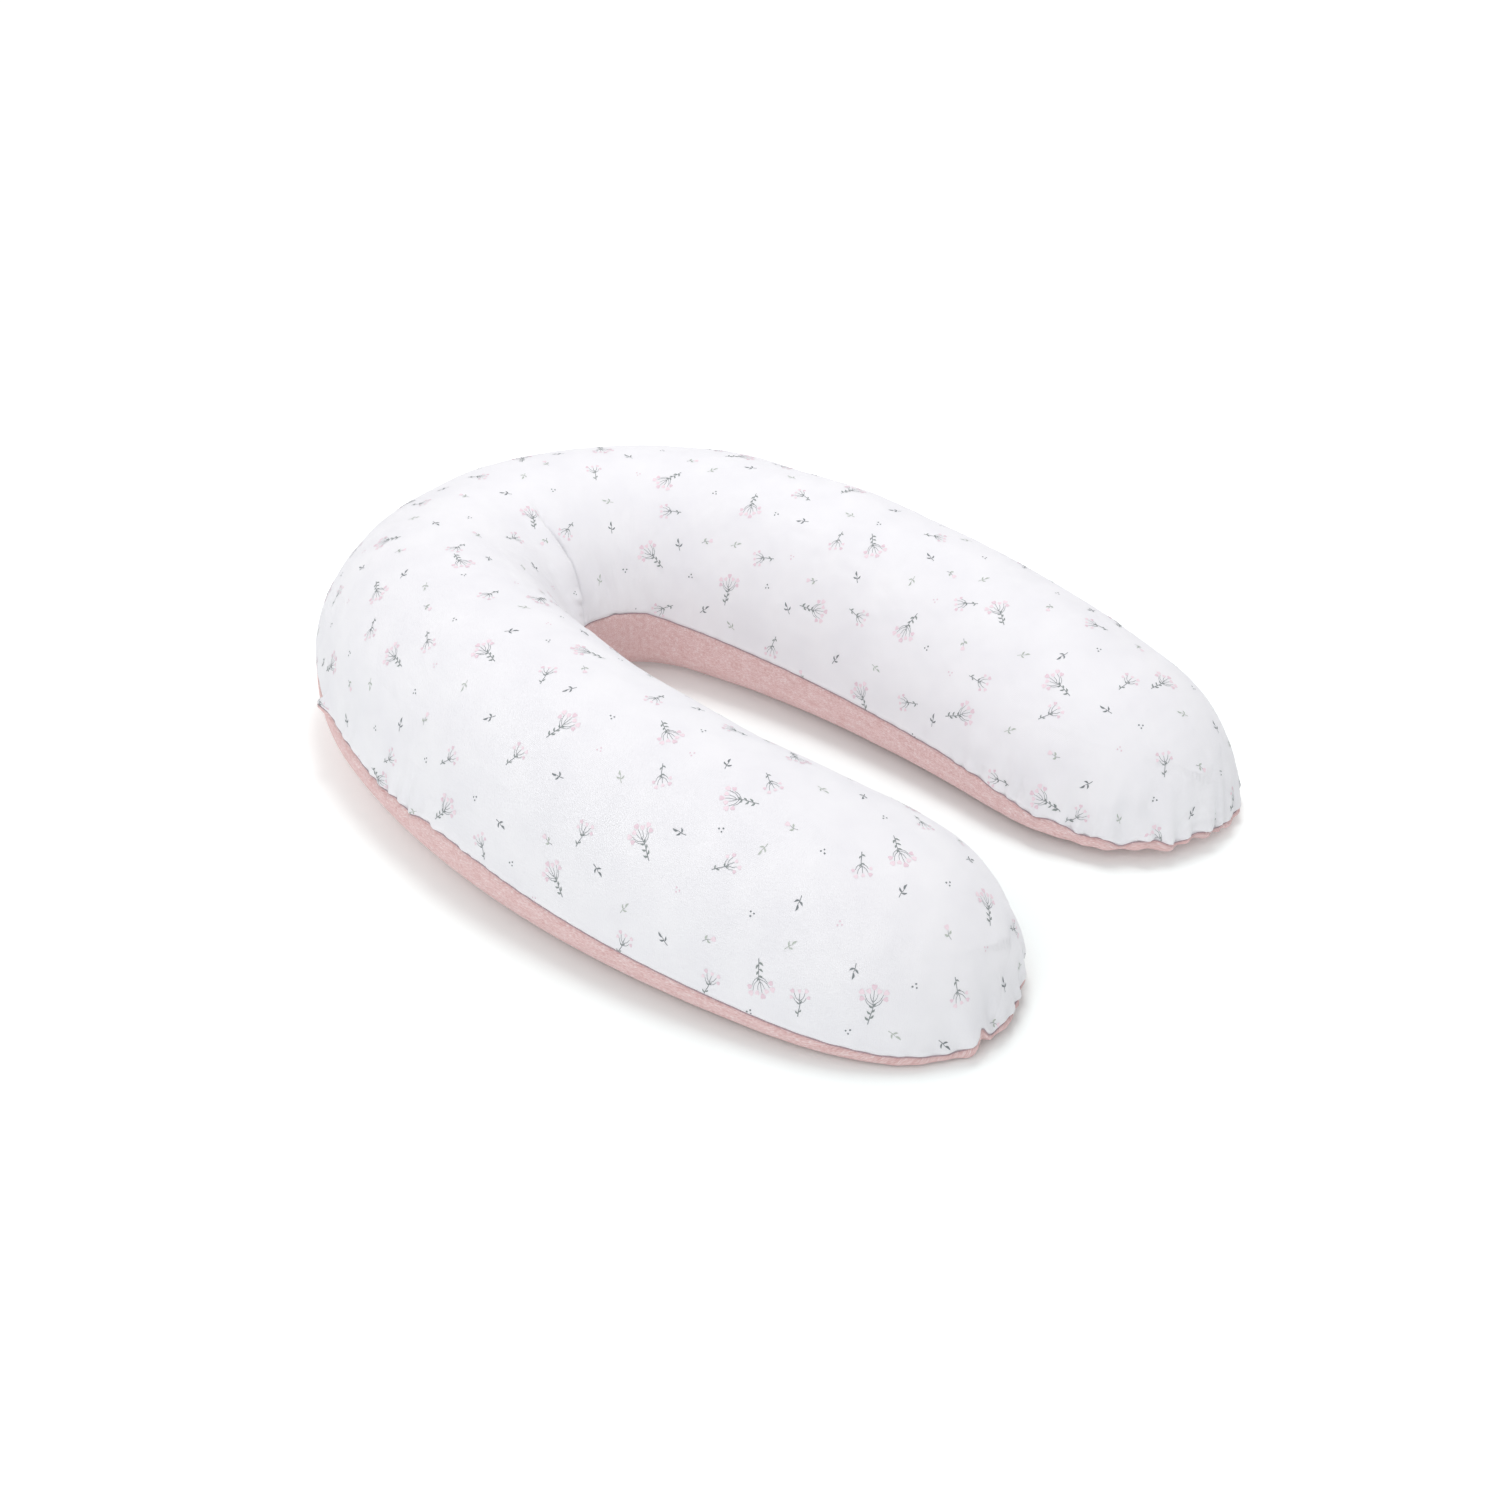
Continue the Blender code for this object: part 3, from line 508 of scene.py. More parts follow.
def row_runs(points):
    """Distance along each section from the inner seam."""
    steps = np.linalg.norm(np.diff(points, axis=1), axis=-1)
    return np.concatenate([np.zeros((len(points), 1)), np.cumsum(steps, axis=1)], axis=1)


def normals_of(points, outward_sign):
    """Unit normals of a grid of points."""
    lengthways = np.gradient(points, axis=0)
    across = np.gradient(points, axis=1)
    normal = np.cross(lengthways, across) * outward_sign
    size = np.linalg.norm(normal, axis=-1, keepdims=True)
    normal = normal / np.maximum(size, 1e-12)
    normal[0], normal[-1] = normal[2], normal[-3]
    normal[1], normal[-2] = normal[2], normal[-3]
    return normal


top = refined_rows(fine_ring[:, : TOP_ROWS + 1], top_arc)
base = refined_rows(np.concatenate([fine_ring[:, :1], fine_ring[:, : TOP_ROWS - 1 : -1]], axis=1), base_arc)
top_s = np.repeat(stations[:, None], top.shape[1], axis=1)
base_s = np.repeat(stations[:, None], base.shape[1], axis=1)
middle_section = len(stations) // 2
probe = normals_of(top, 1.0)[middle_section, top.shape[1] // 2]
TOP_SIGN = 1.0 if probe[2] > 0 else -1.0
probe = normals_of(base, 1.0)[middle_section, base.shape[1] // 2]
BASE_SIGN = 1.0 if probe[2] < 0 else -1.0
top_normals, base_normals = normals_of(top, TOP_SIGN), normals_of(base, BASE_SIGN)
print("top grid:", top.shape[:2], " base grid:", base.shape[:2])

# %% Distance round the seam and away from it
outline = np.concatenate([top[:, 0], top[-2:0:-1, -1]])
outline_s = np.concatenate([stations, stations[-2:0:-1]])
outline_inner = np.arange(len(outline)) < len(stations)
outline_step = np.linalg.norm(np.roll(outline, -1, axis=0) - outline, axis=1)
outline_run = np.concatenate([[0.0], np.cumsum(outline_step)])[:-1]
SEAM_LENGTH = outline_step.sum()
outline_tree = KDTree(len(outline))
for i, place in enumerate(outline):
    outline_tree.insert(place, i)
outline_tree.balance()


def seam_place(s, inner):
    """How far round the seam it is to the place s on the inner or the outer side."""
    distance = np.where(outline_inner == inner, np.abs(outline_s - s), np.inf)
    return outline_run[int(np.argmin(distance))]


def round_gap(round_field, where):
    """Distance round the seam from a place on it, taken the short way, with its sign."""
    return (round_field - where + SEAM_LENGTH / 2) % SEAM_LENGTH - SEAM_LENGTH / 2


def seam_fields(points, band=0.075):
    """For each point, its distance round the seam and off it. Outside the band it counts as far off."""
    flat = points.reshape(-1, 3)
    runs = row_runs(points)
    close = np.minimum(runs, runs[:, -1:] - runs).reshape(-1)
    round_seam, off_seam = np.zeros(len(flat)), np.full(len(flat), 1.0)
    for i in np.flatnonzero(close < band):
        place, found, distance = outline_tree.find(flat[i])
        before, after = outline[found - 1], outline[(found + 1) % len(outline)]
        direction = (after - before) / max(np.linalg.norm(after - before), 1e-9)
        step = float(np.dot(flat[i] - outline[found], direction))
        round_seam[i] = outline_run[found] + np.clip(step, -SPACING, SPACING)
        off_seam[i] = distance
    shape = points.shape[:2]
    return round_seam.reshape(shape), off_seam.reshape(shape)


top_round, top_off = seam_fields(top)
base_round, base_off = seam_fields(base)
print("the seam is", round(SEAM_LENGTH, 3), "m long")

# %% [markdown]
# ## Puckers, scallops and the fold inside the bend
# Jersey is sewn a little longer than it lies, so beside the seam it gathers. A pucker is a ridge that
# starts at the seam and dies out within a few centimetres, with a dip on each side. They are many and
# strong round both tips and on the outside of the bend, where the cloth has most to lose, and few along
# the straight arms. Simulation gives some of them at random, and the ones that an eye would look for are
# placed here one by one. Inside the bend the top is far too long for the space it has, so it folds over
# itself: the lobe on one side laps over a deep crease.

# %% Puckers
def ridge(round_field, off_field, where, height, width, reach):
    """A ridge across the seam at where, with a shallower dip beside it on both sides."""
    gap = round_gap(round_field, where)
    fan = width * (1 + off_field / reach * 0.9)
    profile = np.exp(-((gap / fan) ** 2)) - 0.55 * np.exp(-(((np.abs(gap) - 1.9 * fan) / fan) ** 2))
    fade = np.exp(-((off_field / reach) ** 2)) * np.clip(off_field / (3 * MM) + 0.35, 0, 1)
    return height * profile * fade


def seam_zone(centre, half_length):
    """1 at a place round the seam, falling to 0 at half_length either side."""
    return lambda where: max(0.0, 1 - abs(round_gap(where, centre)) / half_length)


rng = np.random.default_rng(41)
left_tip = seam_place(LEFT_ARM - 0.010, True)
right_tip = seam_place(-RIGHT_ARM + 0.010, True)
zones = [
    (seam_zone(left_tip, 0.30), 1.3),
    (seam_zone(right_tip, 0.36), 2.0),
    (seam_zone(seam_place(0.38, False), 0.22), 1.1),
    (seam_zone(seam_place(0.0, True), 0.30), 0.55),
    (seam_zone(seam_place(-0.60, False), 0.25), 0.35),
]
EVERYWHERE = 0.16              # the strength of the puckers outside every zone
top_lift, base_lift = np.zeros(top_s.shape), np.zeros(base_s.shape)
count = 0
where = 0.0
while where < SEAM_LENGTH:
    strength = EVERYWHERE + max(zone(where) * amount for zone, amount in zones)
    height = strength * rng.uniform(0.5, 1.5) * 1.6 * MM
    width = rng.uniform(3.2, 6.5) * MM
    reach = rng.uniform(10, 30) * MM * (0.6 + 0.6 * strength)
    top_lift += ridge(top_round, top_off, where, height, width, reach)
    beside = where + rng.uniform(-4, 4) * MM
    base_lift += ridge(base_round, base_off, beside, height * 0.75, width, reach * 0.6)
    where += rng.uniform(11, 27) * MM
    count += 1

# The strong ones, at the longer arm's tip, round the shorter arm's tip and outside the bend. Each has its
# place along the centreline, whether it is on the inner side, and its height, width and reach in
# millimetres.
strong = [
    (LEFT_ARM * 0.975, False, 3.4, 7.5, 34),
    (LEFT_ARM * 0.950, False, -2.6, 7.0, 24),
    (LEFT_ARM * 0.990, True, 2.2, 6.0, 22),
    (LEFT_ARM * 0.955, True, 2.0, 6.5, 26),
    (LEFT_ARM * 0.925, True, -1.8, 6.0, 20),
    (-RIGHT_ARM * 0.880, True, 2.0, 6.5, 24),
    (-RIGHT_ARM * 0.915, True, -2.2, 7.0, 26),
    (-RIGHT_ARM * 0.950, True, 2.6, 7.5, 30),
    (-RIGHT_ARM * 0.975, True, -2.4, 6.5, 24),
    (-RIGHT_ARM * 0.992, True, 2.4, 6.5, 26),
    (-RIGHT_ARM * 0.990, False, -2.0, 6.0, 22),
    (0.36, False, 2.0, 6.0, 20),
    (0.40, False, -2.0, 6.0, 20),
    (0.445, False, 1.8, 6.5, 22),
    (0.33, False, -1.6, 5.5, 18),
]
for s, inner, height, width, reach in strong:
    place = seam_place(s, inner)
    top_lift += ridge(top_round, top_off, place, height * MM, width * MM, reach * MM)
    base_lift += ridge(base_round, base_off, place, height * 0.8 * MM, width * MM, reach * 0.7 * MM)
    count += 1
print("puckers:", count)

# %% [markdown]
# The seam line itself wanders. Where the cloth is gathered it runs in small scallops, at a few places it
# is drawn up into a notch, and where the cover is loose the whole seam hangs a little below the line it
# was drawn on. None of this may happen beside the zip, whose stiff tapes hold the edge straight.

# %% The seam's groove and its scallops
# A middle round the seam, half a length in metres, and a height or a depth in millimetres.
SCALLOPED = ((left_tip, 0.26, 2.2), (right_tip, 0.30, 2.8), (seam_place(0.39, False), 0.16, 2.2))
LOOSE = ((seam_place(0.285, False), 0.16, 17.0), (left_tip, 0.24, 13.0), (right_tip, 0.17, 13.0))
# A place along the centreline, whether it is on the inner side, and a height and a width in millimetres.
NOTCHES = (
    (0.918, False, 15.0, 8.0),
    (0.925, True, 5.0, 8.0),
    (-0.858, False, 7.0, 6.5),
    (-0.835, True, -5.0, 9.0),
)


def zip_mask(s_field, rows):
    """1 beside the zip, where the panels are turned back instead of sewn to each other."""
    beside = np.zeros(s_field.shape)
    beside[:, -rows:] = zip_share(s_field[:, -rows:], ZIP_HALF_ANGLE)
    return beside


def scallop(round_field):
    """How far the seam line wanders up and down, in metres: most round the tips and outside the bend."""
    wave = np.zeros(round_field.shape)
    for zone_centre, half_length, height in SCALLOPED:
        gap = round_gap(round_field, zone_centre)
        share = np.clip(1 - np.abs(gap) / half_length, 0, 1)
        wave += height * MM * share * (np.sin(gap / 0.0075 + 1.0) * 0.6 + np.sin(gap / 0.0123) * 0.6)
    for s, inner, height, width in NOTCHES:
        gap = round_gap(round_field, seam_place(s, inner))
        wave += height * MM * np.exp(-((gap / (width * MM)) ** 2))
    return wave


def drop(round_field):
    """How far the whole seam hangs below its drawn line, in metres: outside the bend and at both tips."""
    fall = np.zeros(round_field.shape)
    for centre, half_length, depth in LOOSE:
        gap = round_gap(round_field, centre)
        fall += depth * MM * np.exp(-((gap / half_length) ** 4))
    return fall


def outer_half(shape):
    """1 on the half of a panel's grid where the zip runs, and 0 on the inner half."""
    side = np.zeros(shape)
    side[:, shape[1] // 2 :] = 1
    return side


def dressed(points, normals, lift, round_field, off_field, s_field, hang_reach):
    """Adds puckers, a groove with a soft roll beside it, scallops and slack to a panel."""
    quiet = 1 - zip_mask(s_field, 22)
    groove = -1.7 * MM * np.exp(-((off_field / (1.5 * MM)) ** 2))
    groove += 0.5 * MM * np.exp(-(((off_field - 4.5 * MM) / (2.6 * MM)) ** 2))
    out = points + normals * ((lift + groove) * quiet)[..., None]
    out[..., 2] += scallop(round_field) * np.exp(-((off_field / (14 * MM)) ** 2)) * quiet
    limit = np.minimum(points[:, :1, 2], points[:, -1:, 2]) * 0.75
    loose = 1 - zip_share(s_field, ZIP_HALF_ANGLE + 6) * outer_half(s_field.shape)
    hang = np.minimum(drop(round_field), np.maximum(limit, 4 * MM)) * loose
    out[..., 2] -= hang * np.exp(-((off_field / (hang_reach * MM)) ** 2))
    return out


top = dressed(top, top_normals, top_lift, top_round, top_off, top_s, 42)
base = dressed(base, base_normals, base_lift, base_round, base_off, base_s, 20)
print("the seam hangs by up to", round(drop(top_round).max() / MM, 1), "mm")

# %% Broad lumps from the filling
def lumps(points, height, wavelength, seed):
    """A gentle unevenness: a few long waves that cross at random."""
    chooser = np.random.default_rng(seed)
    total = np.zeros(points.shape[:2])
    for _ in range(9):
        direction = chooser.normal(size=3)
        direction /= np.linalg.norm(direction)
        length = wavelength * chooser.uniform(0.7, 1.5)
        total += np.sin(points @ direction * 2 * math.pi / length + chooser.uniform(0, 6.28))
    return height * total / 3


top_calm = 1 - zip_mask(top_s, 30)
top_swell = lumps(top, 0.9 * MM, 0.13, 5) * top_calm * np.clip(top_off / 0.03, 0, 1)
top = top + top_normals * top_swell[..., None]
print("lumps up to", round(float(np.abs(top_swell).max()) / MM, 2), "mm")

# %% The fold inside the bend
top_runs = row_runs(top)


def on_top(s, share):
    """The point of the top panel at s, at a share of the way over from the inner seam to the outer one."""
    i = int(np.argmin(np.abs(stations - s)))
    j = int(np.argmin(np.abs(top_runs[i] - share * top_runs[i, -1])))
    return top[i, j], top_normals[i, j]


def crease(path, lobe, dip, lap, lobe_width, dip_width):
    """A crease along a path of (s, share) points: a lobe on the side of larger s laps over the dip."""
    dense = []
    for (s0, a0), (s1, a1) in zip(path, path[1:]):
        dense += [(s0 + (s1 - s0) * k / 12, a0 + (a1 - a0) * k / 12) for k in range(12)]
    dense.append(path[-1])
    places = np.array([on_top(*p)[0] for p in dense])
    outwards = np.array([on_top(*p)[1] for p in dense])
    for _ in range(6):
        places[1:-1] = (places[:-2] + 2 * places[1:-1] + places[2:]) / 4
    directions = np.gradient(places, axis=0)
    directions /= np.linalg.norm(directions, axis=1, keepdims=True)
    sides = np.cross(outwards, directions)
    towards = np.array([on_top(p[0] + 0.02, p[1])[0] for p in dense]) - places
    if np.sum(sides * towards) < 0:
        sides = -sides
    flat = top.reshape(-1, 3)
    close = np.flatnonzero(np.linalg.norm(flat - places.mean(axis=0), axis=1) < 0.20)
    gap = flat[close][:, None, :] - places[None, :, :]
    distance = np.linalg.norm(gap, axis=2)
    nearest = distance.argmin(axis=1)
    picked = np.arange(len(close))
    across = np.sum(gap[picked, nearest] * sides[nearest], axis=1)
    lengthways = np.sum(gap[picked, nearest] * directions[nearest], axis=1)
    share = nearest / (len(dense) - 1)
    grow = np.clip(share / 0.45, 0, 1) ** 1.3 * np.exp(-((lengthways / (12 * MM)) ** 2))
    bulge = lobe * np.exp(-(((across - lobe_width) / lobe_width) ** 2))
    sink = -dip * np.exp(-(((across + dip_width * 0.9) / dip_width) ** 2))
    move = outwards[nearest] * ((bulge + sink) * grow)[:, None]
    move -= sides[nearest] * (lap * np.exp(-(((across - 4 * MM) / (7 * MM)) ** 2)) * grow)[:, None]
    flat[close] += move
    return flat.reshape(top.shape)


top = crease(
    [(0.030, 0.42), (0.052, 0.30), (0.066, 0.20), (0.082, 0.11), (0.110, 0.045), (0.140, 0.0)],
    lobe=6.0 * MM, dip=20.0 * MM, lap=15.0 * MM, lobe_width=10 * MM, dip_width=6.5 * MM,
)
top = crease(
    [(-0.020, 0.20), (-0.035, 0.12), (-0.045, 0.05), (-0.050, 0.0)],
    lobe=1.2 * MM, dip=2.5 * MM, lap=0.8 * MM, lobe_width=8 * MM, dip_width=5 * MM,
)
print("folds inside the bend: one deep, one faint")

# %% [markdown]
# The cloth also stands up in one small ear on the outside of the bend, at the seam. Both panels rise into
# it, so it is made by pulling the two grids the same way, outwards and up, close to one place on the
# seam.

# %% The ear outside the bend
EAR_AT = 0.245
EAR_HEIGHT = 13.0 * MM
EAR_HALF_WIDTH = 6.5 * MM
ear_at = int(np.argmin(np.abs(stations - EAR_AT)))
ear_way = top[ear_at, -1] - top[ear_at, 0]
ear_way = ear_way / np.linalg.norm(ear_way) * 0.8 + np.array([0.0, 0.0, 0.6])
for points, round_field, off_field, reach in (
    (top, top_round, top_off, 12 * MM),
    (base, base_round, base_off, 7 * MM),
):
    gap = round_gap(round_field, seam_place(EAR_AT, False))
    rise = EAR_HEIGHT * np.exp(-((gap / EAR_HALF_WIDTH) ** 2)) * np.exp(-((off_field / reach) ** 2))
    points += rise[..., None] * ear_way
base[..., 2] = np.maximum(base[..., 2], 0.0)
top[..., 2] = np.maximum(top[..., 2], 0.0)
print("top panel from", top.reshape(-1, 3).min(0).round(4), "to", top.reshape(-1, 3).max(0).round(4))

# %% [markdown]
# ## From points to panels
# Each panel is one mesh sheet. At a seam or a zip real cloth turns inwards, which is why no cut edge
# shows, so both edges get three more rows that dive into the body. UVs are stored in metres, along the
# pillow and across it, so that a knit or a fleck of melange can be given its real size later.

# %% Edges that open along the zip and turn in
HAIR = 0.15 * MM
SLOT_FADE = 12 * MM


def outer_edge_fade(points):
    """1 at a grid's outer edge, falling away from it."""
    runs = row_runs(points)
    return np.exp(-(((runs[:, -1:] - runs) / SLOT_FADE) ** 2))


def edge_slot(points, s_field, direction):
    """Opens the panels' edges along the zip by half of its slot, and by a hair elsewhere."""
    outer_slot = HAIR + (ZIP_SLOT - HAIR) * zip_share(s_field[:, -1], ZIP_HALF_ANGLE)
    opened = points.copy()
    opened[..., 2] += direction * outer_slot[:, None] * outer_edge_fade(points)
    fade_inner = np.exp(-((row_runs(opened) / (3 * MM)) ** 2))
    opened[..., 2] += direction * HAIR * fade_inner
    return opened


def turned_in(points, normals, depth=1.4 * MM, back=3.5 * MM):
    """Rows that turn both edges into the body: round the edge, then back along the inside."""
    def rows(edge, next_row, normal):
        inwards = -normal * depth
        away = next_row - edge
        away /= np.maximum(np.linalg.norm(away, axis=-1, keepdims=True), 1e-9)
        return [edge + inwards * 0.45 - away * 0.1 * MM, edge + inwards, edge + inwards * 1.1 + away * back]
    near = rows(points[:, 0], points[:, 3], normals[:, 3])
    far = rows(points[:, -1], points[:, -4], normals[:, -4])
    return np.concatenate([np.stack(near[::-1], axis=1), points, np.stack(far, axis=1)], axis=1)


print("the slot along the zip is", round(2 * ZIP_SLOT / MM, 1), "mm high")


# %% Build the panels
def panel(name, points, s_values, outward_sign):
    """A smooth mesh sheet from a grid of points, with its UVs in metres, along the pillow and across it."""
    count, width = points.shape[:2]
    runs = row_runs(points)
    places = points.reshape(-1, 3)
    a = (np.arange(count - 1)[:, None] * width + np.arange(width - 1)[None, :]).reshape(-1)
    quads = np.stack([a, a + 1, a + width + 1, a + width], axis=1)
    if outward_sign > 0:
        quads = quads[:, ::-1]
    mesh = bpy.data.meshes.new(name)
    mesh.vertices.add(len(places))
    mesh.vertices.foreach_set("co", places.astype(np.float32).reshape(-1))
    mesh.loops.add(quads.size)
    mesh.loops.foreach_set("vertex_index", quads.astype(np.int32).reshape(-1))
    mesh.polygons.add(len(quads))
    mesh.polygons.foreach_set("loop_start", (np.arange(len(quads)) * 4).astype(np.int32))
    mesh.update(calc_edges=True)
    uv = np.stack([np.repeat(s_values[:, None], width, axis=1), runs], axis=-1).reshape(-1, 2)
    layer = mesh.uv_layers.new(name="metres")
    layer.data.foreach_set("uv", uv[quads.reshape(-1)].astype(np.float32).reshape(-1))
    mesh.validate()
    mesh.shade_smooth()
    return in_scene(name, mesh)


top_open = edge_slot(top, top_s, 1)
base_open = edge_slot(base, base_s, -1)
for sheet_points in (top_open, base_open):
    sheet_points[0] = sheet_points[0].mean(axis=0)
    sheet_points[-1] = sheet_points[-1].mean(axis=0)
cover_top = panel("cover_top_jersey", turned_in(top_open, top_normals), stations, TOP_SIGN)
cover_base = panel("cover_base_jersey", turned_in(base_open, base_normals), stations, BASE_SIGN)
print("top faces:", len(cover_top.data.polygons), " base faces:", len(cover_base.data.polygons))

# %% [markdown]
# ## The two jerseys
# Both panels are single jersey, a fine weft knit of cotton with a little elastane. Its wales are about
# 0.6 mm apart, which is finer than this view can show, so the rib of the knit is drawn at 1.4 mm, the
# finest that still reads as a grain. Jersey has no shine, only the soft light edge that its loose fibres
# give, and that is what sheen is for.

# %% The relief of a knit
WALE = 1.4 * MM                # between two columns of loops
COURSE = 1.6 * MM              # between two rows of loops


def knit_relief(tree, height):
    """A knit's bump and height: columns of small V-shaped loops, from the panel's UVs in metres."""
    metres = add_node(tree, "UVMap", uv_map="metres")
    scale = (1 / COURSE, 1 / WALE, 1.0)
    loops = add_node(tree, "Mapping", {"Vector": metres.outputs["UV"], "Scale": scale})
    parts = add_node(tree, "SeparateXYZ", {"Vector": loops.outputs["Vector"]})
    slant = add_node(tree, "Math", {0: parts.outputs["Y"], 1: 2 * math.pi}, operation="MULTIPLY")
    column = add_node(tree, "Math", {0: slant.outputs["Value"]}, operation="COSINE")
    leaning = {0: column.outputs["Value"], 1: 0.35, 2: parts.outputs["X"]}
    lean = add_node(tree, "Math", leaning, operation="MULTIPLY_ADD")
    turn = add_node(tree, "Math", {0: lean.outputs["Value"], 1: 2 * math.pi}, operation="MULTIPLY")
    row = add_node(tree, "Math", {0: turn.outputs["Value"]}, operation="SINE")
    fuzz = add_node(tree, "TexNoise", {"Vector": loops.outputs["Vector"], "Scale": 1.7, "Detail": 3.0})
    columns_and_rows = {0: column.outputs["Value"], 1: 0.6, 2: row.outputs["Value"]}
    both = add_node(tree, "Math", columns_and_rows, operation="MULTIPLY_ADD")
    with_fuzz = {0: fuzz.outputs["Fac"], 1: 2.2, 2: both.outputs["Value"]}
    total = add_node(tree, "Math", with_fuzz, operation="MULTIPLY_ADD")
    bump = add_node(tree, "Bump", {"Height": total.outputs["Value"], "Strength": 0.5, "Distance": height})
    return bump, total


print("knit:", round(WALE / MM, 1), "by", round(COURSE / MM, 1), "mm for each loop")

# %% White jersey for the top
white_jersey, tree, shader = new_material(
    "white_single_jersey", Roughness=0.88, IOR=1.5, Sheen_Weight=0.12, Sheen_Roughness=0.5
)
shader.inputs["Specular IOR Level"].default_value = 0.25
shader.inputs["Sheen Tint"].default_value = linear("#FFFFFF")
relief, grain = knit_relief(tree, 0.12 * MM)
tree.links.new(relief.outputs["Normal"], shader.inputs["Normal"])
# Bleached cotton is never one white: the yarn varies over centimetres. The knit's gaps are darker too,
# a painted shade taken from the relief's height.
yarn = add_node(tree, "TexCoord")
drift = add_node(tree, "TexNoise", {"Vector": yarn.outputs["Object"], "Scale": 22.0, "Detail": 2.0})
white = add_node(tree, "ValToRGB", {"Fac": drift.outputs["Fac"]})
colour_stops(white, [(0.3, "#EEEDF1"), (0.7, "#F3F2F5")])
# Painted shade: the colour is scaled down to 95.5% where the knit's relief is lowest.
between = add_node(
    tree,
    "MapRange",
    {"Value": grain.outputs["Value"], "From Min": -1.2, "From Max": 1.6, "To Min": 0.955, "To Max": 1.0},
)
shading = {0: white.outputs["Color"], "Scale": between.outputs["Result"]}
shade = add_node(tree, "VectorMath", shading, operation="SCALE")
tree.links.new(shade.outputs["Vector"], shader.inputs["Base Color"])
cover_top.data.materials.append(white_jersey)
finish_piece(cover_top, "pillow", ["cover_top_panel"])
print("top:", white_jersey.name)

# %% [markdown]
# Melange yarn is spun from fibres dyed before spinning, rose and white together, so the cloth is flecked
# along its courses. The flecks are noise stretched along the pillow, 3 mm long and 1 mm wide, over a
# slower one of 14 by 5 mm. Real flecks are finer, and these are as coarse as they need to be to show.

# %% Rose melange jersey for the base
FLECK = (3.2 * MM, 1.1 * MM)
CLOUD = (14 * MM, 5 * MM)
rose_melange, tree, shader = new_material(
    "rose_melange_jersey", Roughness=0.9, IOR=1.5, Sheen_Weight=0.2, Sheen_Roughness=0.45
)
shader.inputs["Specular IOR Level"].default_value = 0.2
shader.inputs["Sheen Tint"].default_value = linear("#F3DCDD")
relief, grain = knit_relief(tree, 0.14 * MM)
tree.links.new(relief.outputs["Normal"], shader.inputs["Normal"])
metres = add_node(tree, "UVMap", uv_map="metres")
long_scale = (1 / FLECK[0], 1 / FLECK[1], 1.0)
long_way = add_node(tree, "Mapping", {"Vector": metres.outputs["UV"], "Scale": long_scale})
streaks = {"Vector": long_way.outputs["Vector"], "Scale": 1.0, "Detail": 3.0, "Roughness": 0.6}
fleck = add_node(tree, "TexNoise", streaks)
slow_scale = (1 / CLOUD[0], 1 / CLOUD[1], 1.0)
slow_way = add_node(tree, "Mapping", {"Vector": metres.outputs["UV"], "Scale": slow_scale})
cloud = add_node(tree, "TexNoise", {"Vector": slow_way.outputs["Vector"], "Scale": 1.0, "Detail": 1.0})
mixing = {0: cloud.outputs["Fac"], 1: 0.35, 2: fleck.outputs["Fac"]}
mixed = add_node(tree, "Math", mixing, operation="MULTIPLY_ADD")
rose = add_node(tree, "ValToRGB", {"Fac": mixed.outputs["Value"]})
colour_stops(rose, [(0.45, "#D3A6A4"), (0.62, "#E0BDBB"), (0.74, "#E8CBCA"), (0.90, "#F2E2E1")])
tree.links.new(rose.outputs["Color"], shader.inputs["Base Color"])
cover_base.data.materials.append(rose_melange)
finish_piece(cover_base, "pillow", ["cover_base_panel"])
print("base:", rose_melange.name)

# %% [markdown]
# ## The printed sprigs
# The white jersey is printed with small sprigs of blossom, leafy twigs and groups of three dots,
# scattered at every angle. A picture wrapped round the pillow would do it, and so would a shader, but a
# shape that crosses a seam gather or a tight fold stays crisp only if it has edges of its own. So each
# motif is drawn once, flat, in millimetres, from a few curves, and every copy is laid on the finished
# cloth point by point, as thin as ink.

# %% Drawing tools for the motifs
PETAL_POINTS = 14              # round a blossom's outline
LEAF_STEPS = 7
STEM_STEPS = 24
DOT_POINTS = 10


def turned(x, y, heading, flat):
    """Flat points, turned to a heading and moved to a place."""
    c, s = math.cos(heading), math.sin(heading)
    return [(x + px * c - py * s, y + px * s + py * c) for px, py in flat]


def blossom(x, y, heading, length, width):
    """A heart-shaped blossom, from a point to two lobes, as points and faces: a fan inside a ring."""
    outline = []
    for k in range(PETAL_POINTS):
        t = k / PETAL_POINTS * 2 * math.pi
        dent = length * 0.16 * math.exp(-(((t - math.pi) / 0.42) ** 2))
        along_it = length * (0.5 - 0.5 * math.cos(t)) - dent
        across_it = width / 2 * math.sin(t) * (0.5 - 0.5 * math.cos(t)) ** 0.45 * 1.15
        outline.append((along_it, across_it))
    centre = (length * 0.55, 0.0)
    half = [((px + centre[0]) / 2, (py + centre[1]) / 2) for px, py in outline]
    points = turned(x, y, heading, [centre, *half, *outline])
    faces = []
    for k in range(PETAL_POINTS):
        here, after = 1 + k, 1 + (k + 1) % PETAL_POINTS
        faces.append((0, here, after))
    for k in range(PETAL_POINTS):
        here, after = 1 + k, 1 + (k + 1) % PETAL_POINTS
        faces.append((here, here + PETAL_POINTS, after + PETAL_POINTS, after))
    return points, faces


